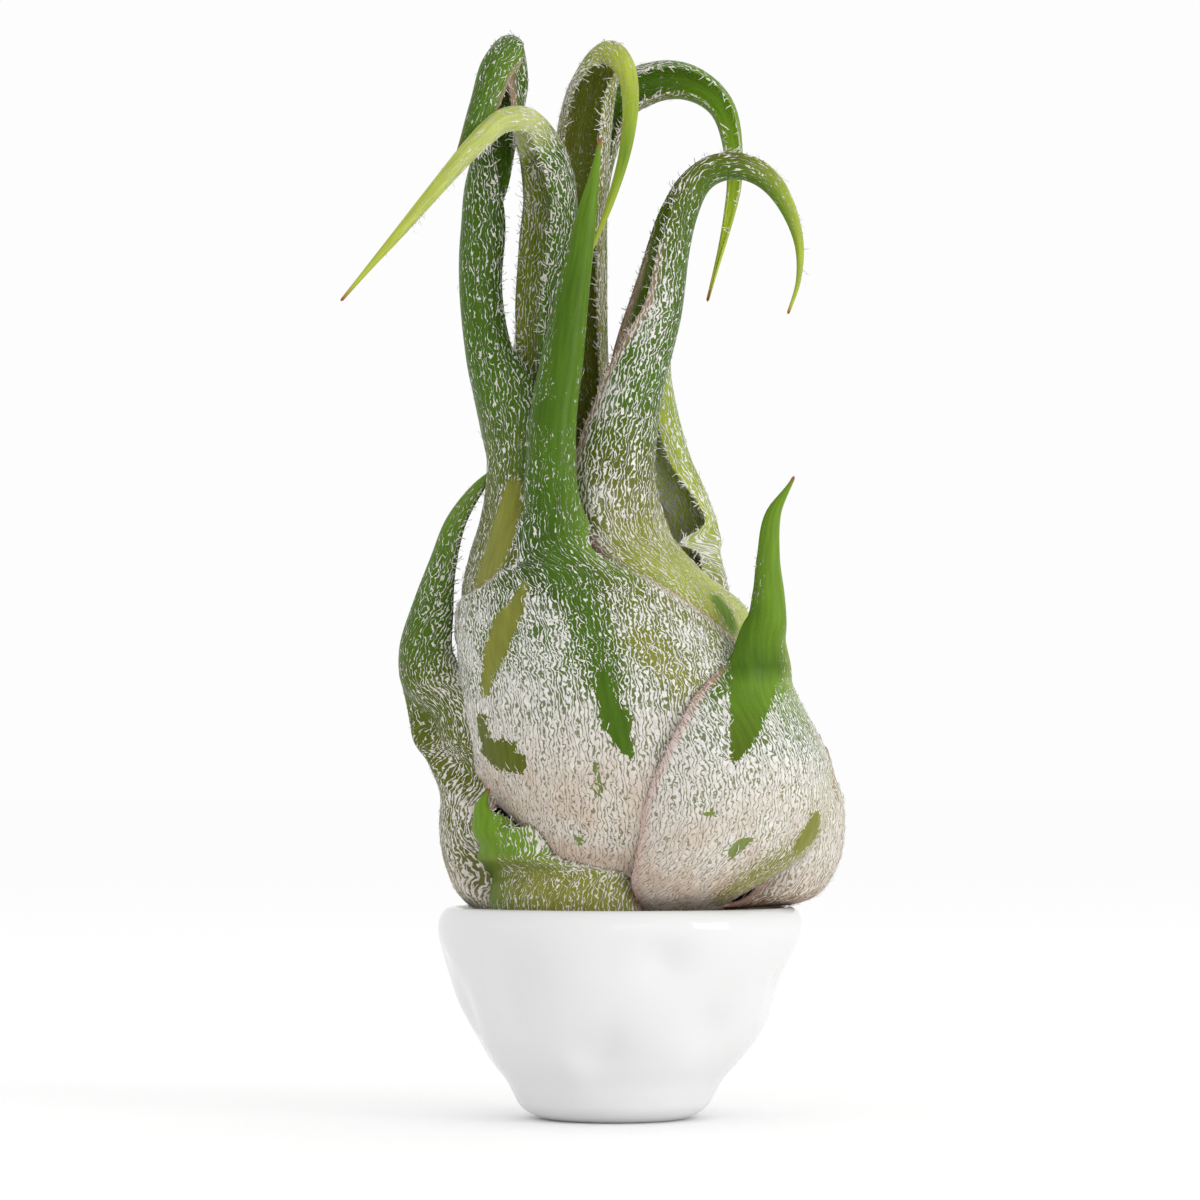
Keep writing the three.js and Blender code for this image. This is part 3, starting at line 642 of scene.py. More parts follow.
def makeHairField():
    tree = bpy.data.node_groups.new("hairField", "GeometryNodeTree")
    kinds = {"Geometry": "Geometry", "Hairs per Square Metre": "Float", "Length": "Float", "Width": "Float",
             "Lift": "Float", "Curl": "Float", "Spread": "Float", "Seed": "Int", "Material": "Material"}
    for label, kind in kinds.items():
        tree.interface.new_socket(label, in_out="INPUT", socket_type="NodeSocket" + kind)
    tree.interface.new_socket("Geometry", in_out="OUTPUT", socket_type="NodeSocketGeometry")
    given, made = addNode(tree, "NodeGroupInput").outputs, addNode(tree, "NodeGroupOutput").inputs

    def add(kind, inputs=None, **settings):
        return addNode(tree, kind, inputs, **settings).outputs

    def calc(operation, *values):
        return mathNode(tree, operation, *values)

    def attribute(name, kind):
        return add("GeometryNodeInputNamedAttribute", {"Name": name}, data_type=kind)["Attribute"]

    def randomFloat(low, high, offset):
        seed = calc("ADD", given["Seed"], offset)
        node = addNode(tree, "FunctionNodeRandomValue", {"Seed": seed}, data_type="FLOAT")
        for label, value in (("Min", low), ("Max", high)):
            target = [socket for socket in node.inputs if socket.name == label and socket.type == "VALUE"][0]
            feed(tree, target, value)
        return [socket for socket in node.outputs if socket.type == "VALUE"][0]

    # one ribbon, one unit long and wide, lying along X with its middle raised
    flat = {"Size X": 1, "Size Y": 1, "Vertices X": hairs["segments"] + 1, "Vertices Y": 2}
    flat = add("GeometryNodeMeshGrid", flat)["Mesh"]
    apart = add("ShaderNodeSeparateXYZ", {0: add("GeometryNodeInputPosition")[0]})
    along = calc("ADD", apart["X"], 0.5)
    marked = {"Geometry": flat, "Name": "alongHair", "Value": along}
    marked = add("GeometryNodeStoreNamedAttribute", marked, data_type="FLOAT", domain="POINT")["Geometry"]
    thin = calc("SUBTRACT", 1, calc("MULTIPLY", calc("POWER", along, 2), hairs["taper"]))
    arch = calc("SINE", calc("MULTIPLY", along, hairs["archAngle"]))
    shape = add("ShaderNodeCombineXYZ", {"X": along, "Y": calc("MULTIPLY", apart["Y"], thin), "Z": arch})[0]
    ribbon = add("GeometryNodeSetPosition", {"Geometry": marked, "Position": shape})["Geometry"]

    # ribbons on the skin: upright, combed, and each turned, stretched and raised a little by chance
    density = calc("MULTIPLY", attribute("hairs", "FLOAT"), given["Hairs per Square Metre"])
    points = {"Mesh": given["Geometry"], "Seed": given["Seed"], "Density": density}
    points = add("GeometryNodeDistributePointsOnFaces", points, distribute_method="RANDOM")
    upright = add("FunctionNodeAlignRotationToVector", {"Vector": points["Normal"]}, axis="Z")[0]
    combed = {"Rotation": upright, "Vector": attribute("comb", "FLOAT_VECTOR")}
    combed = add("FunctionNodeAlignRotationToVector", combed, axis="X", pivot_axis="Z")[0]
    turn = randomFloat(calc("MULTIPLY", given["Spread"], -1), given["Spread"], 1)
    turn = add("FunctionNodeEulerToRotation", {0: add("ShaderNodeCombineXYZ", {"Z": turn})[0]})[0]
    turned = {"Rotation": combed, "Rotate By": turn}
    turned = add("FunctionNodeRotateRotation", turned, rotation_space="LOCAL")[0]
    length = calc("MULTIPLY", given["Length"], randomFloat(*hairs["lengths"], 2))
    lift = calc("MULTIPLY", given["Lift"], randomFloat(*hairs["lifts"], 3))
    size = add("ShaderNodeCombineXYZ", {"X": length, "Y": given["Width"], "Z": lift})[0]
    copies = {"Points": points["Points"], "Instance": ribbon, "Rotation": turned, "Scale": size}
    copies = add("GeometryNodeInstanceOnPoints", copies)["Instances"]
    real = add("GeometryNodeRealizeInstances", {"Geometry": copies})["Geometry"]

    # every hair curls in its own way
    wave = add("ShaderNodeTexNoise", {"Scale": hairs["curlScale"], "Detail": 0})["Color"]
    aside = add("ShaderNodeVectorMath", {0: wave, 1: (0.5, 0.5, 0.5)}, operation="SUBTRACT")[0]
    curl = calc("MULTIPLY", given["Curl"], attribute("alongHair", "FLOAT"))
    bend = add("ShaderNodeVectorMath", {0: aside, "Scale": curl}, operation="SCALE")[0]
    curled = add("GeometryNodeSetPosition", {"Geometry": real, "Offset": bend})["Geometry"]
    soft = add("GeometryNodeSetShadeSmooth", {"Geometry": curled})["Geometry"]
    painted = add("GeometryNodeSetMaterial", {"Geometry": soft, "Material": given["Material"]})["Geometry"]
    feed(tree, made["Geometry"], painted)
    return tree


hairField = makeHairField()


def growHairs(name, leafPiece, seed):
    carrier = newPiece(name + "_carrier", leafPiece.data)
    grow = carrier.modifiers.new("hairField", "NODES")
    grow.node_group = hairField
    values = {"Hairs per Square Metre": hairs["perSquareMm"] / mm ** 2, "Seed": hairs["seed"] + seed,
              "Spread": math.radians(hairs["spreadDegrees"]), "Material": hairWhite}
    for label in ("Length", "Width", "Lift", "Curl"):
        values[label] = hairs[label.lower()] * mm
    for item in hairField.interface.items_tree:
        if item.name in values:
            grow[item.identifier] = values[item.name]
    evaluated = carrier.evaluated_get(bpy.context.evaluated_depsgraph_get())
    mesh = bpy.data.meshes.new_from_object(evaluated)
    mesh.name = name
    bpy.data.objects.remove(carrier)
    return newPiece(name, mesh)


# The leaves' tables. A sheath row is [distance from the bulb's axis, height, reach left, reach right] of the
# midrib. A blade row is [x, y, z, radius, direction of the back, its tilt, reach left, reach right]. The last
# is left out where both reaches are the same. Looks are by row: skin and felt as in lookTable, and beige of
# the felt as [row, share]. Pink is [first row, last row, amount]; inside is the felt on the inner face. A patch
# is [skin colour or "", share of hairs kept, line of [x, z, half-width] as seen from the front].
leafInnerLeft = {
    "azimuth": 35, "roll": 9,
    "sheath": [[9, 64, 90], [10, 80, 90], [9, 100, 90]],
    "blade": [[-6, -3, 122, 6.5, 35, 0, 100, 110], [-12.5, -6, 143, 5.8, 35, 0, 105, 112],
        [-16, -7.5, 160, 5.4, 35, 0, 112], [-17, -8.5, 176, 5.8, 35, 0, 112],
        [-15.6, -9, 191, 6.6, 35, 0, 112], [-14.8, -9.5, 202, 6.7, 30, 5, 112],
        [-16.4, -10.5, 211, 6, 25, 25, 115], [-20, -12.5, 217.5, 4.4, 20, 60, 115],
        [-25, -15, 217.5, 3.2, -100, 70, 120], [-30.5, -18, 212, 2.5, -130, 50, 120],
        [-37.5, -21, 203.5, 1.9, -140, 45, 125], [-47, -25, 191.5, 1.2, -140, 45, 130],
        [-58.5, -30, 177, 0.35, -140, 45, 135]],
    "skin": [[0, "olive"], [4, "green", "deep", "olive"], [9, "green", "deep", "olive"], [10, "pale"],
        [13, "pale", "lime", "pale"], [14.7, "lime"]],
    "felt": [[0, 0.5], [4, 0.5, 0.3, 0.6], [8, 0.55, 0.35, 0.7], [10, 0.6, 0.5, 0.7], [11, 0.25, 0.2, 0.3],
        [13, 0.08, 0.04, 0.12]],
    "beige": [[0, 0.4], [9, 0.3], [11, 0.1]], "inside": 0.8,
}

leafTopBack = {
    "azimuth": 110, "roll": 11,
    "sheath": [[11, 60, 80, 60], [14, 74, 85, 70], [14, 96, 85, 80]],
    "blade": [[-4, 7.5, 120, 7.6, 90, 0, 110], [-6.5, 7, 142, 6.4, 90, 0, 125],
        [-7.3, 6.8, 165, 5.6, 90, 0, 132], [-7.6, 6.5, 188, 5.4, 90, 0, 135], [-7.6, 6, 205, 6, 88, 0, 138],
        [-6.6, 4.5, 219, 6.1, 85, 10, 138], [-4.4, 1.5, 229, 5.2, 75, 32, 138],
        [-1, -3.5, 234.5, 3.6, 20, 75, 138], [2.6, -8.5, 230.5, 2.3, -75, 35, 135],
        [3.6, -11, 222, 1.8, -85, 5, 135], [2.2, -12.5, 211, 1.3, -85, 0, 135],
        [-1.4, -13.5, 199, 0.8, -85, 0, 135], [-5.8, -14, 188, 0.35, -85, 0, 135]],
    "skin": [[0, "olive"], [4, "moss", "olive", "moss"], [9, "moss", "olive", "moss"], [11, "lime"],
        [13, "lime", "bright", "lime"], [14.7, "lime"]],
    "felt": [[0, 0.6], [5, 0.55, 0.4, 0.55], [9, 0.6, 0.35, 0.7], [10, 0.55, 0.3, 0.65],
        [11, 0.2, 0.05, 0.25], [13, 0.05, 0, 0.05]],
    "beige": [[0, 0.4], [8, 0.2], [11, 0]], "inside": 0.35,
}

leafArchingBack = {
    "azimuth": 62, "roll": 13,
    "sheath": [[13, 56, 70], [19, 68, 75], [21.5, 94, 75]],
    "blade": [[-1.5, 17, 118, 7, 80, 0, 100], [-4.5, 20, 142, 5.8, 88, 0, 120],
        [-6.4, 20.5, 166, 5.4, 90, 0, 130], [-6.6, 20.5, 190, 5.2, 92, 0, 135],
        [-6, 19.5, 210, 5.2, 95, 2, 135], [-0.5, 18.5, 226.5, 5, 95, 8, 138],
        [8.5, 17.5, 232.3, 4.7, 92, 10, 138], [17.5, 16.8, 232, 4.1, 88, 8, 138],
        [25, 16, 225.5, 2.9, 85, 0, 138], [27.3, 15.5, 212, 1.9, 85, 0, 138],
        [25.8, 15, 200.5, 1.2, 85, 0, 138], [21.2, 14.5, 182.5, 0.35, 85, 0, 138]],
    "skin": [[0, "olive"], [4, "olive", "green", "olive"], [9, "olive", "green", "green"], [11, "bright"],
        [13.7, "lime"]],
    "felt": [[0, 0.6], [5, 0.5, 0.35, 0.55], [8, 0.6, 0.3, 0.75], [9, 0.55, 0.2, 0.75],
        [10, 0.2, 0.05, 0.5], [11, 0.08, 0, 0.15]],
    "beige": [[0, 0.5], [9, 0.3], [11, 0]], "inside": 0.35,
}

leafHiddenLeft = {
    "azimuth": 132, "roll": 30,
    "sheath": [[10, 49, 60], [17, 53, 60, 70], [23.5, 63, 56, 75], [27.5, 78, 48, 75], [28.2, 92, 46, 75],
        [28, 105, 46, 70], [26, 116, 52, 65], [22, 126, 60, 65]],
    "blade": [[-15.5, 10.5, 137, 8.6, 128, 0, 80], [-18, 14, 150, 6, 125, 0, 115],
        [-18.5, 18, 164, 5, 122, -3, 130], [-18, 23, 176, 4.4, 118, -20, 135],
        [-18, 31, 184, 3.8, 110, -55, 135], [-18.5, 40, 184.5, 3.1, -70, -75, 135],
        [-20, 47, 177.5, 2.3, -75, -25, 135], [-21.5, 51, 166, 1.4, -75, -8, 135],
        [-22.5, 52, 152, 0.35, -75, 0, 135]],
    "skin": [[0, "olive"], [7, "moss", "olive", "moss"], [9, "green"], [13, "green", "bright", "green"],
        [15.7, "lime"]],
    "felt": [[0, 0.8], [7, 0.85, 0.7, 0.85], [9, 0.8, 0.5, 0.8], [11, 0.6, 0.2, 0.6], [13, 0.4, 0.08, 0.4]],
    "beige": [[0, 0.6], [6, 0.2], [9, 0]], "pink": [4, 9, 0.7], "inside": 0.4,
}

leafBehindRight = {
    "azimuth": 42, "roll": 24,
    "sheath": [[10, 48, 60], [17, 52, 70, 60], [23.5, 62, 78, 60], [27.5, 77, 84, 46], [28.4, 92, 84, 44],
        [28.4, 104, 72, 44], [30.2, 113, 60, 46], [32, 120, 52, 50]],
    "blade": [[6.5, 5.5, 124, 17.5, 38, 2, 50, 54], [12.6, 8.5, 129, 11.2, 34, 4, 62, 66],
        [14.2, 9.5, 137, 7.2, 32, 0, 84], [11.2, 10.5, 147, 5.7, 28, 0, 115],
        [8.8, 13, 160, 4.9, 40, 0, 130], [8.8, 18, 171.5, 4.4, 70, -18, 135],
        [9.2, 26, 180, 3.8, 85, -50, 135], [9.8, 35.5, 182, 3.2, -90, -80, 135],
        [10, 44.5, 176.5, 2.5, -90, -38, 135], [10, 49.5, 166.5, 1.7, -90, -12, 135],
        [9.5, 51, 153.5, 0.35, -90, 0, 135]],
    "skin": [[0, "olive"], [6, "olive"], [8, "lime", "moss", "lime"], [12, "lime", "bright", "lime"],
        [15, "moss", "bright", "lime"], [17.7, "lime"]],
    "felt": [[0, 0.75], [6, 0.7, 0.6, 0.7], [8, 0.7, 0.6, 0.75], [12, 0.5, 0.5, 0.7], [15, 0.4, 0.25, 0.5],
        [17, 0.1, 0, 0.1]],
    "beige": [[0, 0.6], [6, 0.2], [9, 0]], "inside": 1,
}

leafFoldedLeft = {
    "azimuth": -160, "roll": 31,
    "sheath": [[12, 51, 65], [20, 55, 76, 75], [26.5, 65, 80], [30.4, 79, 84, 80], [30.8, 93, 84, 80],
        [31.4, 105, 84, 78], [31.8, 111, 84, 76], [30.4, 117, 84, 76], [26.2, 123.5, 84, 76],
        [21.5, 132, 84, 78]],
    "blade": [[-12.5, -1.5, 142, 16.5, -160, 0, 84, 80], [-17, -3, 151, 12.5, -158, 0, 92, 88],
        [-22.5, -4, 159.5, 8.6, -158, 0, 110, 104], [-26.9, -4, 168, 5.9, -158, 0, 125, 118],
        [-29, -4, 182, 5.2, -158, 0, 128, 125], [-28.6, -4, 195, 5.4, -160, 0, 130],
        [-27.6, -4, 207, 5.1, 170, 0, 130], [-25.6, -4, 217.5, 4.7, 100, 0, 130],
        [-23.4, -4, 227.3, 4.3, 40, 15, 130], [-23, -7.5, 234.6, 3.9, -20, 72, 130],
        [-25.6, -12.5, 230.5, 3.7, -120, 30, 125], [-28.4, -14.4, 222, 3.2, -125, 8, 125],
        [-31.6, -15.2, 214.5, 2, -125, 5, 130], [-35.8, -16, 206.5, 0.35, -125, 5, 135]],
    "skin": [[0, "olive"], [6, "olive"], [9, "olive", "olive", "green"], [12, "olive", "green", "green"],
        [16, "green", "green", "deep"], [18, "green", "deep", "deep"], [20, "bright", "green", "green"],
        [22, "green", "green", "pink"]],
    "felt": [[0, 0.9], [5, 0.9, 0.8, 0.9], [7, 0.8, 0.5, 0.6], [9, 0.6, 0.3, 0.4], [11, 0.45, 0.25, 0.4],
        [13, 0.2, 0.14, 0.35], [15, 0.1, 0.12, 0.5], [17, 0.1, 0.2, 0.65], [18, 0.3, 0.4, 0.75],
        [19, 0.5, 0.5, 0.8], [20, 0.3, 0.2, 0.35], [21, 0.1, 0.05, 0.15]],
    "beige": [[0, 0.6], [5, 0.35], [9, 0.1], [16, 0.2]], "pink": [18, 23, 0.8], "inside": 0.7,
    "patches": [
        ["moss", 0, [[-22, 138, 1.5], [-23, 132, 2.6], [-25, 125.5, 2.6], [-27.5, 119, 2.2],
            [-29.5, 115, 1]]],
    ],
}

leafArchingRight = {
    "azimuth": -35, "roll": 32,
    "sheath": [[12, 49, 60, 65], [20, 53, 40, 70], [26.5, 64, 40, 76], [30.4, 79, 38, 76],
        [30.8, 93, 38, 78], [30.8, 104, 38, 76], [31, 112, 40, 50], [26.4, 119.3, 44, 24],
        [20.8, 127, 52, 40]],
    "blade": [[-4.5, -4, 136, 14.6, -28, 0, 82, 66], [-0.8, -6, 147, 10, -8, 0, 126, 84],
        [2.9, -8, 160, 8.1, 8, 0, 138, 116], [8.2, -8, 175.5, 6.5, 22, 0, 132],
        [11.7, -8, 190.5, 4.9, 24, -5, 138], [14.8, -8, 200.5, 4.3, 24, -30, 138],
        [20, -8, 208, 3.8, 20, -65, 138], [27.5, -8, 209.6, 3.2, -170, -80, 138],
        [34, -8, 206.5, 2.7, -165, -50, 138], [38.4, -8, 200, 1.9, -165, -20, 138],
        [40.8, -8, 192, 1.1, -165, -5, 138], [40.6, -8, 184, 0.6, -165, 5, 138],
        [38.4, -8, 177, 0.35, -165, 10, 138]],
    "skin": [[0, "olive"], [4, "moss", "lime", "lime"], [7, "moss", "lime", "lime"],
        [8.5, "olive", "moss", "lime"], [9.5, "olive", "olive", "moss"], [11, "green"],
        [16, "olive", "green", "olive"], [18, "lime", "bright", "lime"], [20.7, "lime"]],
    "felt": [[0, 0.6], [5, 0.4, 0.4, 0.55], [7, 0.5, 0.35, 0.5], [8, 0.65, 0.5, 0.55], [9, 0.7, 0.55, 0.55],
        [10, 0.7, 0.45, 0.45], [11, 0.7, 0.3, 0.2], [13, 0.65, 0.15, 0.1], [14, 0.4, 0.05, 0.1],
        [16, 0.3, 0.05, 0.22], [17, 0.25, 0.05, 0.25], [18, 0.15, 0.02, 0.2], [19, 0.08, 0, 0.08]],
    "beige": [[0, 0.6], [6, 0.25], [10, 0.1], [16, 0.15]], "pink": [8, 12, 0.7], "inside": 0.95,
    "patches": [
        ["bright", 0, [[22, 113.5, 0.8], [24.5, 110, 1.2], [26, 107, 0.8]]],
    ],
}

leafBack = {
    "azimuth": 94, "roll": 33,
    "sheath": [[12, 44, 60], [21, 46.5, 72], [29, 52.5, 78], [33.6, 62, 82], [35.6, 72, 84], [36, 83, 84],
        [35, 94, 80], [33.6, 103, 72]],
    "blade": [[-3, 6.5, 110.5, 24, 92, 18, 62], [-4.5, 14.5, 117.5, 14.5, 92, 22, 62],
        [-5.5, 22.5, 125, 7.8, 92, 14, 84], [-6, 26, 135, 5.4, 92, 0, 120],
        [-6, 29.5, 146, 4.7, 92, -15, 130], [-6, 36, 156, 4, 92, -40, 135],
        [-6, 45, 160, 3.2, -88, -82, 135], [-6, 52.5, 155, 2.4, -88, -45, 135],
        [-6, 56.5, 146, 1.5, -88, -12, 135], [-6, 57, 135, 0.35, -88, 5, 135]],
    "skin": [[0, "straw"], [5, "olive", "olive", "moss"], [8, "moss", "green", "moss"], [11, "green"],
        [16.7, "lime"]],
    "felt": [[0, 1], [5, 0.95, 0.9, 0.95], [7, 0.9, 0.65, 0.85], [9, 0.8, 0.35, 0.7], [11, 0.5, 0.12, 0.5],
        [14, 0.3, 0.05, 0.3]],
    "beige": [[0, 1], [4, 0.8], [6, 0.1], [8, 0]], "pink": [0, 9, 0.9], "inside": 0.4,
}

leafLeft = {
    "azimuth": 180, "roll": 18,
    "sheath": [[12, 43, 60, 50], [21, 43, 70, 46], [31, 44.2, 90, 48], [37.4, 48.6, 100, 52],
        [41, 56, 102, 56], [42.2, 64, 104, 58], [42, 71, 104, 60], [44.2, 78, 100, 64]],
    "blade": [[-27, 0, 82.4, 17, 180, 0, 96, 74], [-31.4, 0, 87.2, 14, 180, -2, 100, 90],
        [-38.3, 0.5, 95, 9, 178, 0, 120, 124], [-40.5, 0.5, 103, 7, 178, 8, 135, 140],
        [-39.4, 1, 112.5, 5.2, 178, 14, 140, 145], [-37.2, 1, 122, 3.8, 178, 18, 125],
        [-34.6, 0.5, 131, 2.8, 178, 28, 125], [-29.8, -0.5, 138.8, 1.6, 175, 45, 130],
        [-23.7, -2, 144.5, 0.35, 170, 50, 135]],
    "skin": [[0, "straw", "olive", "straw"], [5, "olive"], [8, "green", "olive", "olive"], [12, "green"],
        [15.7, "bright"]],
    "felt": [[0, 0.85], [5, 0.7, 0.6, 0.75], [7, 0.6, 0.4, 0.65], [9, 0.4, 0.28, 0.65],
        [11, 0.22, 0.18, 0.65], [13, 0.1, 0.08, 0.6], [14, 0.05, 0.05, 0.4]],
    "beige": [[0, 0.6], [4, 0.4], [7, 0.2], [9, 0.3]], "pink": [3, 6, 0.5], "inside": 0.8,
}

leafFront = {
    "azimuth": -93, "roll": 40,
    "sheath": [[12, 46, 50, 60], [21, 49, 34, 66], [28.5, 53.5, 30, 70], [32.8, 61, 44, 68],
        [35, 70, 62, 70], [36, 82, 80, 76], [36.4, 94, 87, 84], [35.8, 103.5, 87, 58],
        [34.6, 109.5, 86, 45], [33.6, 113.3, 76, 34], [32.5, 116, 54, 28]],
    "blade": [[-6, -5, 119.3, 26, -92, 0, 48, 23], [-10, -11, 122.5, 18, -92, 0, 47, 21],
        [-12.8, -16.5, 126, 10.5, -91, 2, 54, 46], [-13.3, -20, 132, 6.8, -90, 4, 104],
        [-13.8, -19.8, 140, 5.7, -90, 2, 128], [-13.2, -20, 153, 5.1, -90, 0, 132],
        [-11.2, -20.6, 166, 4.6, -90, 0, 132], [-8.9, -21.4, 180, 3.5, -90, 0, 135],
        [-6.2, -22.4, 195.5, 2.3, -90, 0, 138], [-4.3, -23.4, 205, 1.1, -90, 0, 138],
        [-3.1, -24.3, 212.4, 0.35, -90, 0, 138]],
    # painted shade and light: the blade's skin is deep green on its left and bright on its right, as light from
    # the right falls on it
    "skin": [[0, "straw"], [3, "straw", "olive", "straw"], [5, "olive", "olive", "moss"],
        [7, "olive", "green", "moss"], [9, "olive", "deep", "moss"], [12, "deep", "deep", "bright"],
        [15, "deep", "green", "bright"], [18, "green", "green", "bright"], [20.6, "bright"]],
    "felt": [[0, 1], [4, 1], [5, 0.97, 0.9, 0.95], [6, 0.92, 0.78, 0.82], [7, 0.9, 0.7, 0.72],
        [8, 0.9, 0.65, 0.68], [9, 0.88, 0.6, 0.62], [10, 0.85, 0.52, 0.55], [11, 0.8, 0.42, 0.4],
        [12, 0.7, 0.3, 0.25], [13, 0.55, 0.16, 0.12], [15, 0.25, 0.04, 0.06], [17, 0.15, 0.01, 0.05],
        [19, 0.08, 0, 0.04], [20.5, 0]],
    "beige": [[0, 1], [3, 0.9], [4, 0.7], [5, 0.3], [6, 0.08]], "pink": [0, 10, 0.9], "inside": 0.5,
    "patches": [
        ["green", 0.3, [[-11.6, 121, 4], [-6.3, 110, 4], [-3, 102, 3.8], [-1.8, 95, 3.6]]],
        ["moss", 0.75, [[5.5, 104, 4], [16, 94, 4]]],
        ["moss", 0, [[-19.3, 116, 0.4], [-20.8, 111.6, 1.7], [-23.2, 108, 2.6], [-24.6, 104.3, 2.6],
            [-26.1, 100.3, 2.3], [-27.2, 97, 1.5], [-27.8, 93, 1]]],
        ["green", 0, [[-2.4, 96, 1.2], [-1.8, 91, 2.2], [0.4, 87, 3.4], [1.2, 83.3, 2.2],
            [3.2, 79.8, 1.2]]],
        ["olive", 0, [[-27.4, 81, 1.7], [-23.8, 79.4, 3.4], [-20.6, 77.3, 1.9]]],
        ["olive", 0, [[-28.8, 87.3, 1.1], [-28.1, 84, 1.1]]],
        ["sage", 0, [[-7.5, 62.2, 0.8], [-7.3, 60.7, 0.8]]],
        ["sage", 0, [[-3.7, 77.2, 0.6], [-3.5, 71, 0.5]]],
    ],
}

lowBackLook = {
    "skin": [[0, "straw"], [4, "olive"], [7, "green"], [9.6, "bright"]],
    "felt": [[0, 0.95], [5, 0.9, 0.8, 0.9], [7, 0.7, 0.4, 0.7], [8, 0.4, 0.08, 0.4]],
    "beige": [[0, 0.9], [5, 0.3], [7, 0]], "pink": [0, 7, 0.9], "inside": 0.5,
}

leafLowBackLeft = {
    "azimuth": 142, "roll": 27,
    "sheath": [[12, 39.5, 60, 50], [21, 40, 65, 50], [29, 43, 70, 46], [35, 50, 72, 44], [38.4, 59, 72, 44],
        [39.4, 69, 66, 44], [39, 78, 52, 46]],
    "blade": [[-26.8, 24, 87, 6.5, 142, 8, 76], [-29.4, 26, 94, 3.2, 142, 8, 110],
        [-29.6, 26, 102, 1.9, 142, 10, 130], [-27, 24.5, 110, 0.35, 142, 20, 130]],
    **lowBackLook,
}

leafLowBackRight = {
    "azimuth": 48, "roll": 27,
    "sheath": [[12, 37.5, 60], [21, 38.5, 65], [29, 43, 70], [35, 50, 74], [38.6, 59, 74], [40, 70, 68],
        [39, 80, 52]],
    "blade": [[27.2, 27, 89, 6, 48, 10, 76], [28, 28.4, 96, 3, 48, 14, 110],
        [26.5, 28, 104, 1.8, 48, 22, 130], [23, 26, 112, 0.35, 48, 35, 130]],
    **lowBackLook,
}

leafLowRight = {
    "azimuth": 6, "roll": 17,
    "sheath": [[12, 44.8, 60], [21, 45.6, 65], [31, 46.2, 76, 70], [38.6, 47.1, 84, 80],
        [43.6, 49.8, 86, 85], [46.3, 56, 85], [47.2, 63, 82], [47.4, 70, 80], [45.8, 75, 72]],
    "blade": [[41.6, 2, 78, 6.4, 4, 24, 70], [44.2, 0.6, 81, 2.4, 0, 26, 90],
        [45.2, -0.6, 84, 0.35, -4, 26, 100]],
    "skin": [[0, "brown"], [3, "brown", "brown", "straw"], [4.5, "straw"], [6, "pale", "straw", "pale"],
        [8.5, "straw", "straw", "olive"], [9.5, "rust", "brown", "brown"]],
    "felt": [[0, 0.1, 0.1, 0.2], [2.5, 0.15, 0.3, 0.6], [4, 0.8, 0.8, 0.85], [5, 0.95], [7, 0.95, 0.9, 0.9],
        [8.5, 0.6, 0.6, 0.7], [9.5, 0.1, 0.15, 0.2]],
    "beige": [[0, 1], [3, 0.9], [5, 0.35], [10, 0.3]], "pink": [2, 9, 1.0], "inside": 0.3,
}

leafLowFront = {
    "azimuth": -146, "roll": 27,
    "sheath": [[12, 38, 30, 60], [21, 38, 22, 66], [28.5, 39.5, 18, 72], [33.6, 43.5, 16, 76],
        [35, 48, 15, 76], [34.4, 51.5, 17, 70], [33.4, 54.3, 20, 62]],
    "blade": [[-8, -5.6, 57, 24, -147, 0, 18, 48], [-14, -10.5, 59.5, 17, -148, 0, 17, 54],
        [-20.8, -14.6, 62, 10.5, -149, 2, 18, 70], [-25.3, -17.4, 65, 5.4, -149, 4, 28, 100],
        [-27.4, -19.2, 68.5, 2.6, -146, 8, 60, 80], [-27, -20, 72, 0.35, -142, 16, 120]],
    "skin": [[0, "straw", "moss", "straw"], [2, "green", "moss", "moss"], [6, "green", "moss", "moss"],
        [8, "bright"], [11.6, "bright"]],
    "felt": [[0, 0.6, 0.5, 0.6], [4, 0.35, 0.3, 0.6], [6, 0.25, 0.25, 0.75], [7, 0.12, 0.15, 0.8],
        [9, 0.02, 0.02, 0.6], [11, 0, 0, 0.2]],
    "beige": [[0, 0.5], [10, 0.2]], "pink": [0, 4, 0.6], "inside": 0.8,
    "patches": [
        ["", 0, [[-29, 70, 2], [-28, 61.5, 2.6], [-26.8, 53, 2.4], [-25.5, 49, 1.6]]],
    ],
}

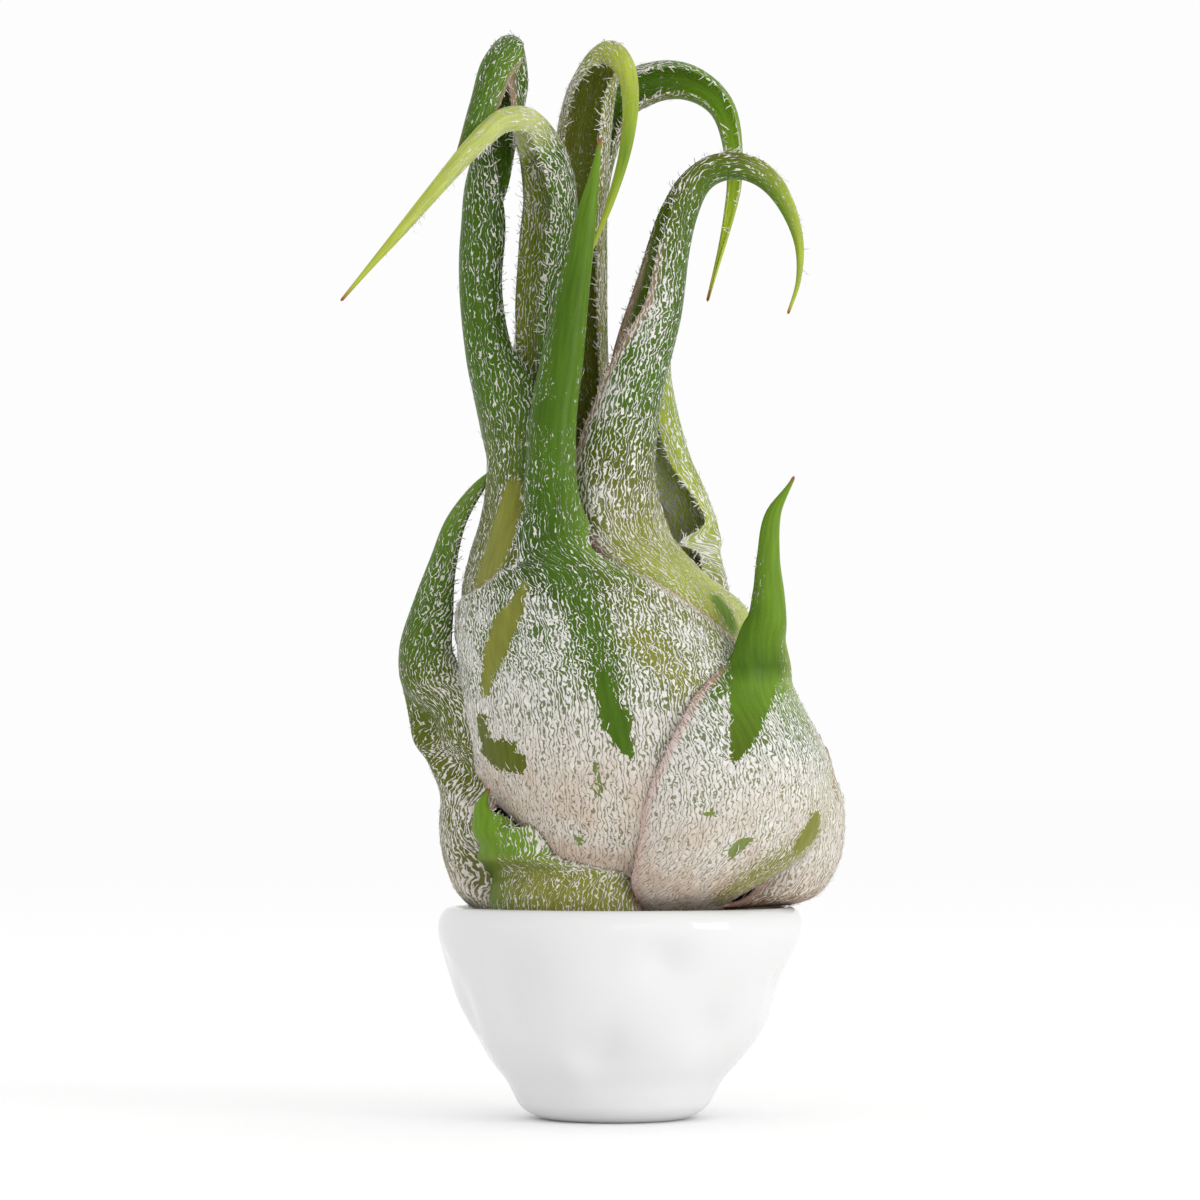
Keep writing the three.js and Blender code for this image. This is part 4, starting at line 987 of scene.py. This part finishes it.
leafFrontRight = {
    "azimuth": -38, "roll": 28,
    "sheath": [[12, 41, 44, 20], [21, 43, 44, 4], [29.5, 46.6, 47, -4], [38, 51.5, 67, -1],
        [45, 59.5, 78, 22], [48.4, 69.5, 79, 47], [47.4, 80, 66, 60], [43, 90, 45, 60]],
    "blade": [[19.3, -13.5, 94.5, 20, -40, 0, 47, 50], [25.5, -17.5, 98.5, 13, -45, 0, 53, 55],
        [29.5, -22.5, 103, 7.5, -48, 2, 70, 60], [32.4, -25.6, 108, 4.6, -50, 4, 100, 95],
        [33, -26.8, 114, 3.5, -50, 4, 120], [33, -27.6, 122, 2.5, -46, 0, 130],
        [34.2, -28.4, 131, 1.6, -46, 15, 135], [38.2, -30, 138.5, 0.35, -80, 40, 135]],
    "skin": [[0, "straw"], [3, "straw", "straw", "moss"], [5, "olive", "moss", "pale"],
        [6, "olive", "green", "pale"], [7, "green", "bright", "pale"], [8, "green", "bright", "pale"],
        [9, "green", "green", "lime"], [11, "green", "bright", "bright"],
        [14.7, "bright", "bright", "lime"]],
    "felt": [[0, 1, 1, 0.9], [4, 1, 1, 0.85], [5, 0.97, 0.97, 0.78], [6, 0.95, 0.88, 0.72],
        [7, 0.85, 0.6, 0.66], [8, 0.6, 0.15, 0.45], [9, 0.3, 0.03, 0.25], [11, 0.08, 0, 0.08]],
    "beige": [[0, 1], [3, 0.8], [5, 0.35], [6, 0.1]], "pink": [0, 8, 0.9], "inside": 0.5,
    "patches": [
        ["", 0, [[30.5, 106, 5], [30.2, 98, 5.6], [29, 91, 4.6], [27.3, 83.5, 2.8], [25.5, 78.5, 1]]],
        ["moss", 0, [[43, 66.5, 1.2], [42.2, 63, 1.9], [39.5, 60, 1.3]]],
        ["sage", 0, [[24.5, 58.4, 1], [26.2, 60.3, 1.2], [28.4, 61, 0.8]]],
        ["sage", 0, [[19.5, 67, 0.9], [21.2, 67, 0.6]]],
        ["moss", 0.4, [[23, 49.5, 2], [32, 54, 3], [39, 58.5, 2.2]]],
    ],
}


# Leaves, from the innermost to the outermost
leaves = {
    "leaf_inner_left": leafInnerLeft, "leaf_top_back": leafTopBack, "leaf_arching_back": leafArchingBack,
    "leaf_hidden_left": leafHiddenLeft, "leaf_behind_right": leafBehindRight,
    "leaf_folded_left": leafFoldedLeft, "leaf_arching_right": leafArchingRight, "leaf_back": leafBack,
    "leaf_left": leafLeft, "leaf_front": leafFront, "leaf_low_back_left": leafLowBackLeft,
    "leaf_low_back_right": leafLowBackRight, "leaf_low_right": leafLowRight, "leaf_low_front": leafLowFront,
    "leaf_front_right": leafFrontRight,
}
swellingSeed, feltSeed = 3.7, 5.3   # by leaf, so that no two are alike


def leafTree(name):
    points, faces = leafMesh(grids[name])
    return BVHTree.FromPolygons([tuple(p) for p in points], faces)


order = list(leaves)
grids, leafTrees = {}, {}
for name in reversed(order):
    grid = grids[name] = leafGrid(leaves[name])
    swelling = unevenField(grid["outer"], leafBuild["unevenSize"], order.index(name) * swellingSeed)
    swelling = swelling * leafBuild["unevenness"] * grid["wide"][:, None]
    grid["outer"] = grid["outer"] + grid["outward"] * swelling[..., None]
    tuckUnder(grid, list(leafTrees.values()))
    leafTrees[name] = leafTree(name)
for number, name in enumerate(order):
    clingTo(grids[name], [leafTrees[other] for other in order[:number]])
    leafTrees[name] = leafTree(name)
print("leaves laid over one another")

hairCount = 0
for number, name in enumerate(order):
    leaf = leaves[name]
    grid = grids[name]
    values = leafValues(leaf, grid, [leafTrees[other] for other in order[number + 1:]], number * feltSeed)
    piece = meshObject(name + "_skin", *leafMesh(grid))
    dressLeaf(piece, leaf, grid, values)
    piece.data.materials.append(leafSkin)
    growth = growHairs(name + "_hairs", piece, number)
    hairCount += len(growth.data.polygons)
    for unused in ("hairs", "comb"):
        piece.data.attributes.remove(piece.data.attributes[unused])
    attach(piece, "root")
    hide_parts(name)
    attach(growth, "root")
    print(name, "skin", len(piece.data.polygons), "hairs", len(growth.data.polygons))
print("hair faces", hairCount)


# Bowl, as [radius, height] rows from the foot over the rim to the floor
bowl = {
    "outside": [[8.5, 0], [14.5, 0], [17.9, 0.9], [20.6, 2.8], [22.2, 5.5], [24.1, 8.8], [28, 13.2],
        [31.8, 18.3], [34.6, 24], [37, 31], [39.2, 37.5], [40, 41.6], [39.7, 44.2], [38.6, 45.9],
        [37.2, 46.4], [36, 45.8]],
    "inside": [[35.5, 44], [35.1, 38], [32.6, 31], [30.2, 24], [25.8, 17.5], [19, 11.5], [12, 7.8], [6, 6.5],
        [1, 6.5]],
    "sides": 180, "stepsPerRow": 6,
    "height": 46.4, "lean": 1.5,   # the rim lies this far to the right of the foot
    # soft presses: [direction, height, half-width in degrees, half-height, depth]
    "presses": [[-163, 25, 12, 7, 1.8], [-128, 31, 10, 7, 2.8], [-97, 16, 13, 5, 2.2], [-75, 36, 9, 4.5, 2.4],
        [-50, 22, 11, 7, 2.8], [-12, 30, 16, 6, 1.8], [38, 33, 14, 6, 2.0], [88, 24, 16, 7, 2.4],
        [136, 34, 16, 6, 2.0], [172, 18, 14, 5, 1.8]],
    # finger marks are drawn by chance between these limits of the same five values
    "fingerMarks": 30, "markLimits": [(-180, 180), (10, 40), (5, 9), (2.5, 4.5), (-0.5, 1)], "seed": 11,
    "smoothBelow": (2, 6),   # presses fade out between these heights
}


def turnedProfile(rows, steps):
    last = len(rows) - 1
    return throughRows(np.array(rows, float), np.linspace(0, last, last * steps + 1))


# A closed turned form. Its profile starts near the middle of the underside and ends near the middle above.
def lathe(profile, sides):
    points, faces = [], []
    for r, z in profile:
        for j in range(sides):
            a = 2 * math.pi * j / sides
            points.append([r * math.cos(a), r * math.sin(a), z])
    rings = len(profile)
    for k in range(rings - 1):
        for j in range(sides):
            b = (j + 1) % sides
            faces.append((k * sides + j, k * sides + b, (k + 1) * sides + b, (k + 1) * sides + j))
    points += [[0, 0, profile[0][1]], [0, 0, profile[-1][1]]]
    for j in range(sides):
        b = (j + 1) % sides
        faces.append((b, j, len(points) - 2))
        faces.append(((rings - 1) * sides + j, (rings - 1) * sides + b, len(points) - 1))
    return np.array(points), faces


def buildBowl():
    profile = turnedProfile(bowl["outside"] + bowl["inside"], bowl["stepsPerRow"])
    profile[:, 1] = np.maximum(profile[:, 1], 0)
    points, faces = lathe(profile, bowl["sides"])
    outer = np.zeros(len(points), bool)
    outer[: bowl["sides"] * (len(bowl["outside"]) - 1) * bowl["stepsPerRow"]] = True
    radius = np.hypot(points[:, 0], points[:, 1])
    direction = np.degrees(np.arctan2(points[:, 1], points[:, 0]))
    draw = np.random.default_rng(bowl["seed"])
    marks = [[draw.uniform(*limits) for limits in bowl["markLimits"]] for mark in range(bowl["fingerMarks"])]
    dent = np.zeros(len(points))
    for at, height, halfWidth, halfHeight, depth in bowl["presses"] + marks:
        off = (direction - at + 540) % 360 - 180
        dent += depth * np.exp(-(off / halfWidth) ** 2 - ((points[:, 2] - height) / halfHeight) ** 2)
    dent *= smoothStep(*bowl["smoothBelow"], points[:, 2]) * outer
    scale = np.where(radius > 1, (radius - dent) / np.maximum(radius, 1), 1)
    points[:, 0] = points[:, 0] * scale + bowl["lean"] * (points[:, 2] / bowl["height"]) ** 2
    points[:, 1] *= scale
    piece = meshObject("bowl_glazed", points, faces)
    piece.data.materials.append(whiteGlaze)
    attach(piece, "root")
    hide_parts("bowl")


buildBowl()
print("bowl built")


# Stem, which the leaves hide
stem = {
    "rows": [[0.5, 0], [4.2, 0], [5.4, 4], [6.2, 14], [7.2, 28], [7.6, 38], [6.6, 44], [4.5, 48], [0.5, 50]],
    "foot": 6.85, "thinnest": 0.5, "sides": 24, "stepsPerRow": 3,
}


def buildStem():
    profile = turnedProfile(stem["rows"], stem["stepsPerRow"])
    profile[:, 0] = np.maximum(profile[:, 0], stem["thinnest"])
    profile[:, 1] = np.maximum(profile[:, 1], 0) + stem["foot"]
    points, faces = lathe(profile, stem["sides"])
    points[:, 0] += axisX(points[:, 2])
    piece = meshObject("stem_bark", points, faces)
    piece.data.materials.append(dryBark)
    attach(piece, "root")
    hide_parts("stem")


buildStem()
print("stem built")


# Floor, light and camera
studio = {
    "floorSize": 400.0, "airStrength": 0.983,
    "floor": {"Base Color": (0.97, 0.97, 0.97, 1), "Roughness": 1.0, "Specular IOR Level": 0.0,
              "Emission Color": (1, 1, 1, 1), "Emission Strength": 0.02},
    # in metres and watts: [name, place, size, power]
    "lights": [["leftBox", (-1.3, -0.5, 0.25), 0.7, 0.4], ["rightBox", (1.25, -0.8, 0.2), 0.7, 9.0],
               ["frontBox", (0.2, -1.45, 0.22), 0.7, 1.6], ["topBox", (0.2, 0.2, 1.4), 0.6, 0.5]],
    "lightsFace": (0, 0, 0.11),
    "cameraAt": (-3.1, -900, 70), "lookAt": (-3.1, 0, 114),   # mm
    "lens": 122.2, "sensorWidth": 36, "clip": (0.01, 500),
}


def placeFacing(name, data, place, target):
    thing = newPiece(name, data)
    thing.location = place
    thing.rotation_euler = (Vector(target) - Vector(place)).to_track_quat("-Z", "Y").to_euler()
    return thing


def buildStudio():
    half = studio["floorSize"] / 2 / mm
    corners = [[-half, -half, 0], [half, -half, 0], [half, half, 0], [-half, half, 0]]
    floor = meshObject("floor", corners, [(0, 1, 2, 3)], False)
    floor.data.materials.append(newMaterial("paleFloor", studio["floor"])[0])
    world = bpy.data.worlds.new("paleAir")
    world.use_nodes = True
    air = world.node_tree.nodes["Background"].inputs
    air["Color"].default_value = (1, 1, 1, 1)
    air["Strength"].default_value = studio["airStrength"]
    bpy.context.scene.world = world
    for name, place, size, power in studio["lights"]:
        lamp = bpy.data.lights.new(name, "AREA")
        lamp.shape, lamp.size, lamp.energy = "SQUARE", size, power
        placeFacing(name, lamp, place, studio["lightsFace"])
    camera = bpy.data.cameras.new("camera")
    camera.lens, camera.sensor_width = studio["lens"], studio["sensorWidth"]
    camera.clip_start, camera.clip_end = studio["clip"]
    eye = placeFacing("camera", camera, Vector(studio["cameraAt"]) * mm, Vector(studio["lookAt"]) * mm)
    bpy.context.scene.camera = eye
    bpy.context.scene.view_settings.view_transform = "Standard"


buildStudio()
print("studio built")
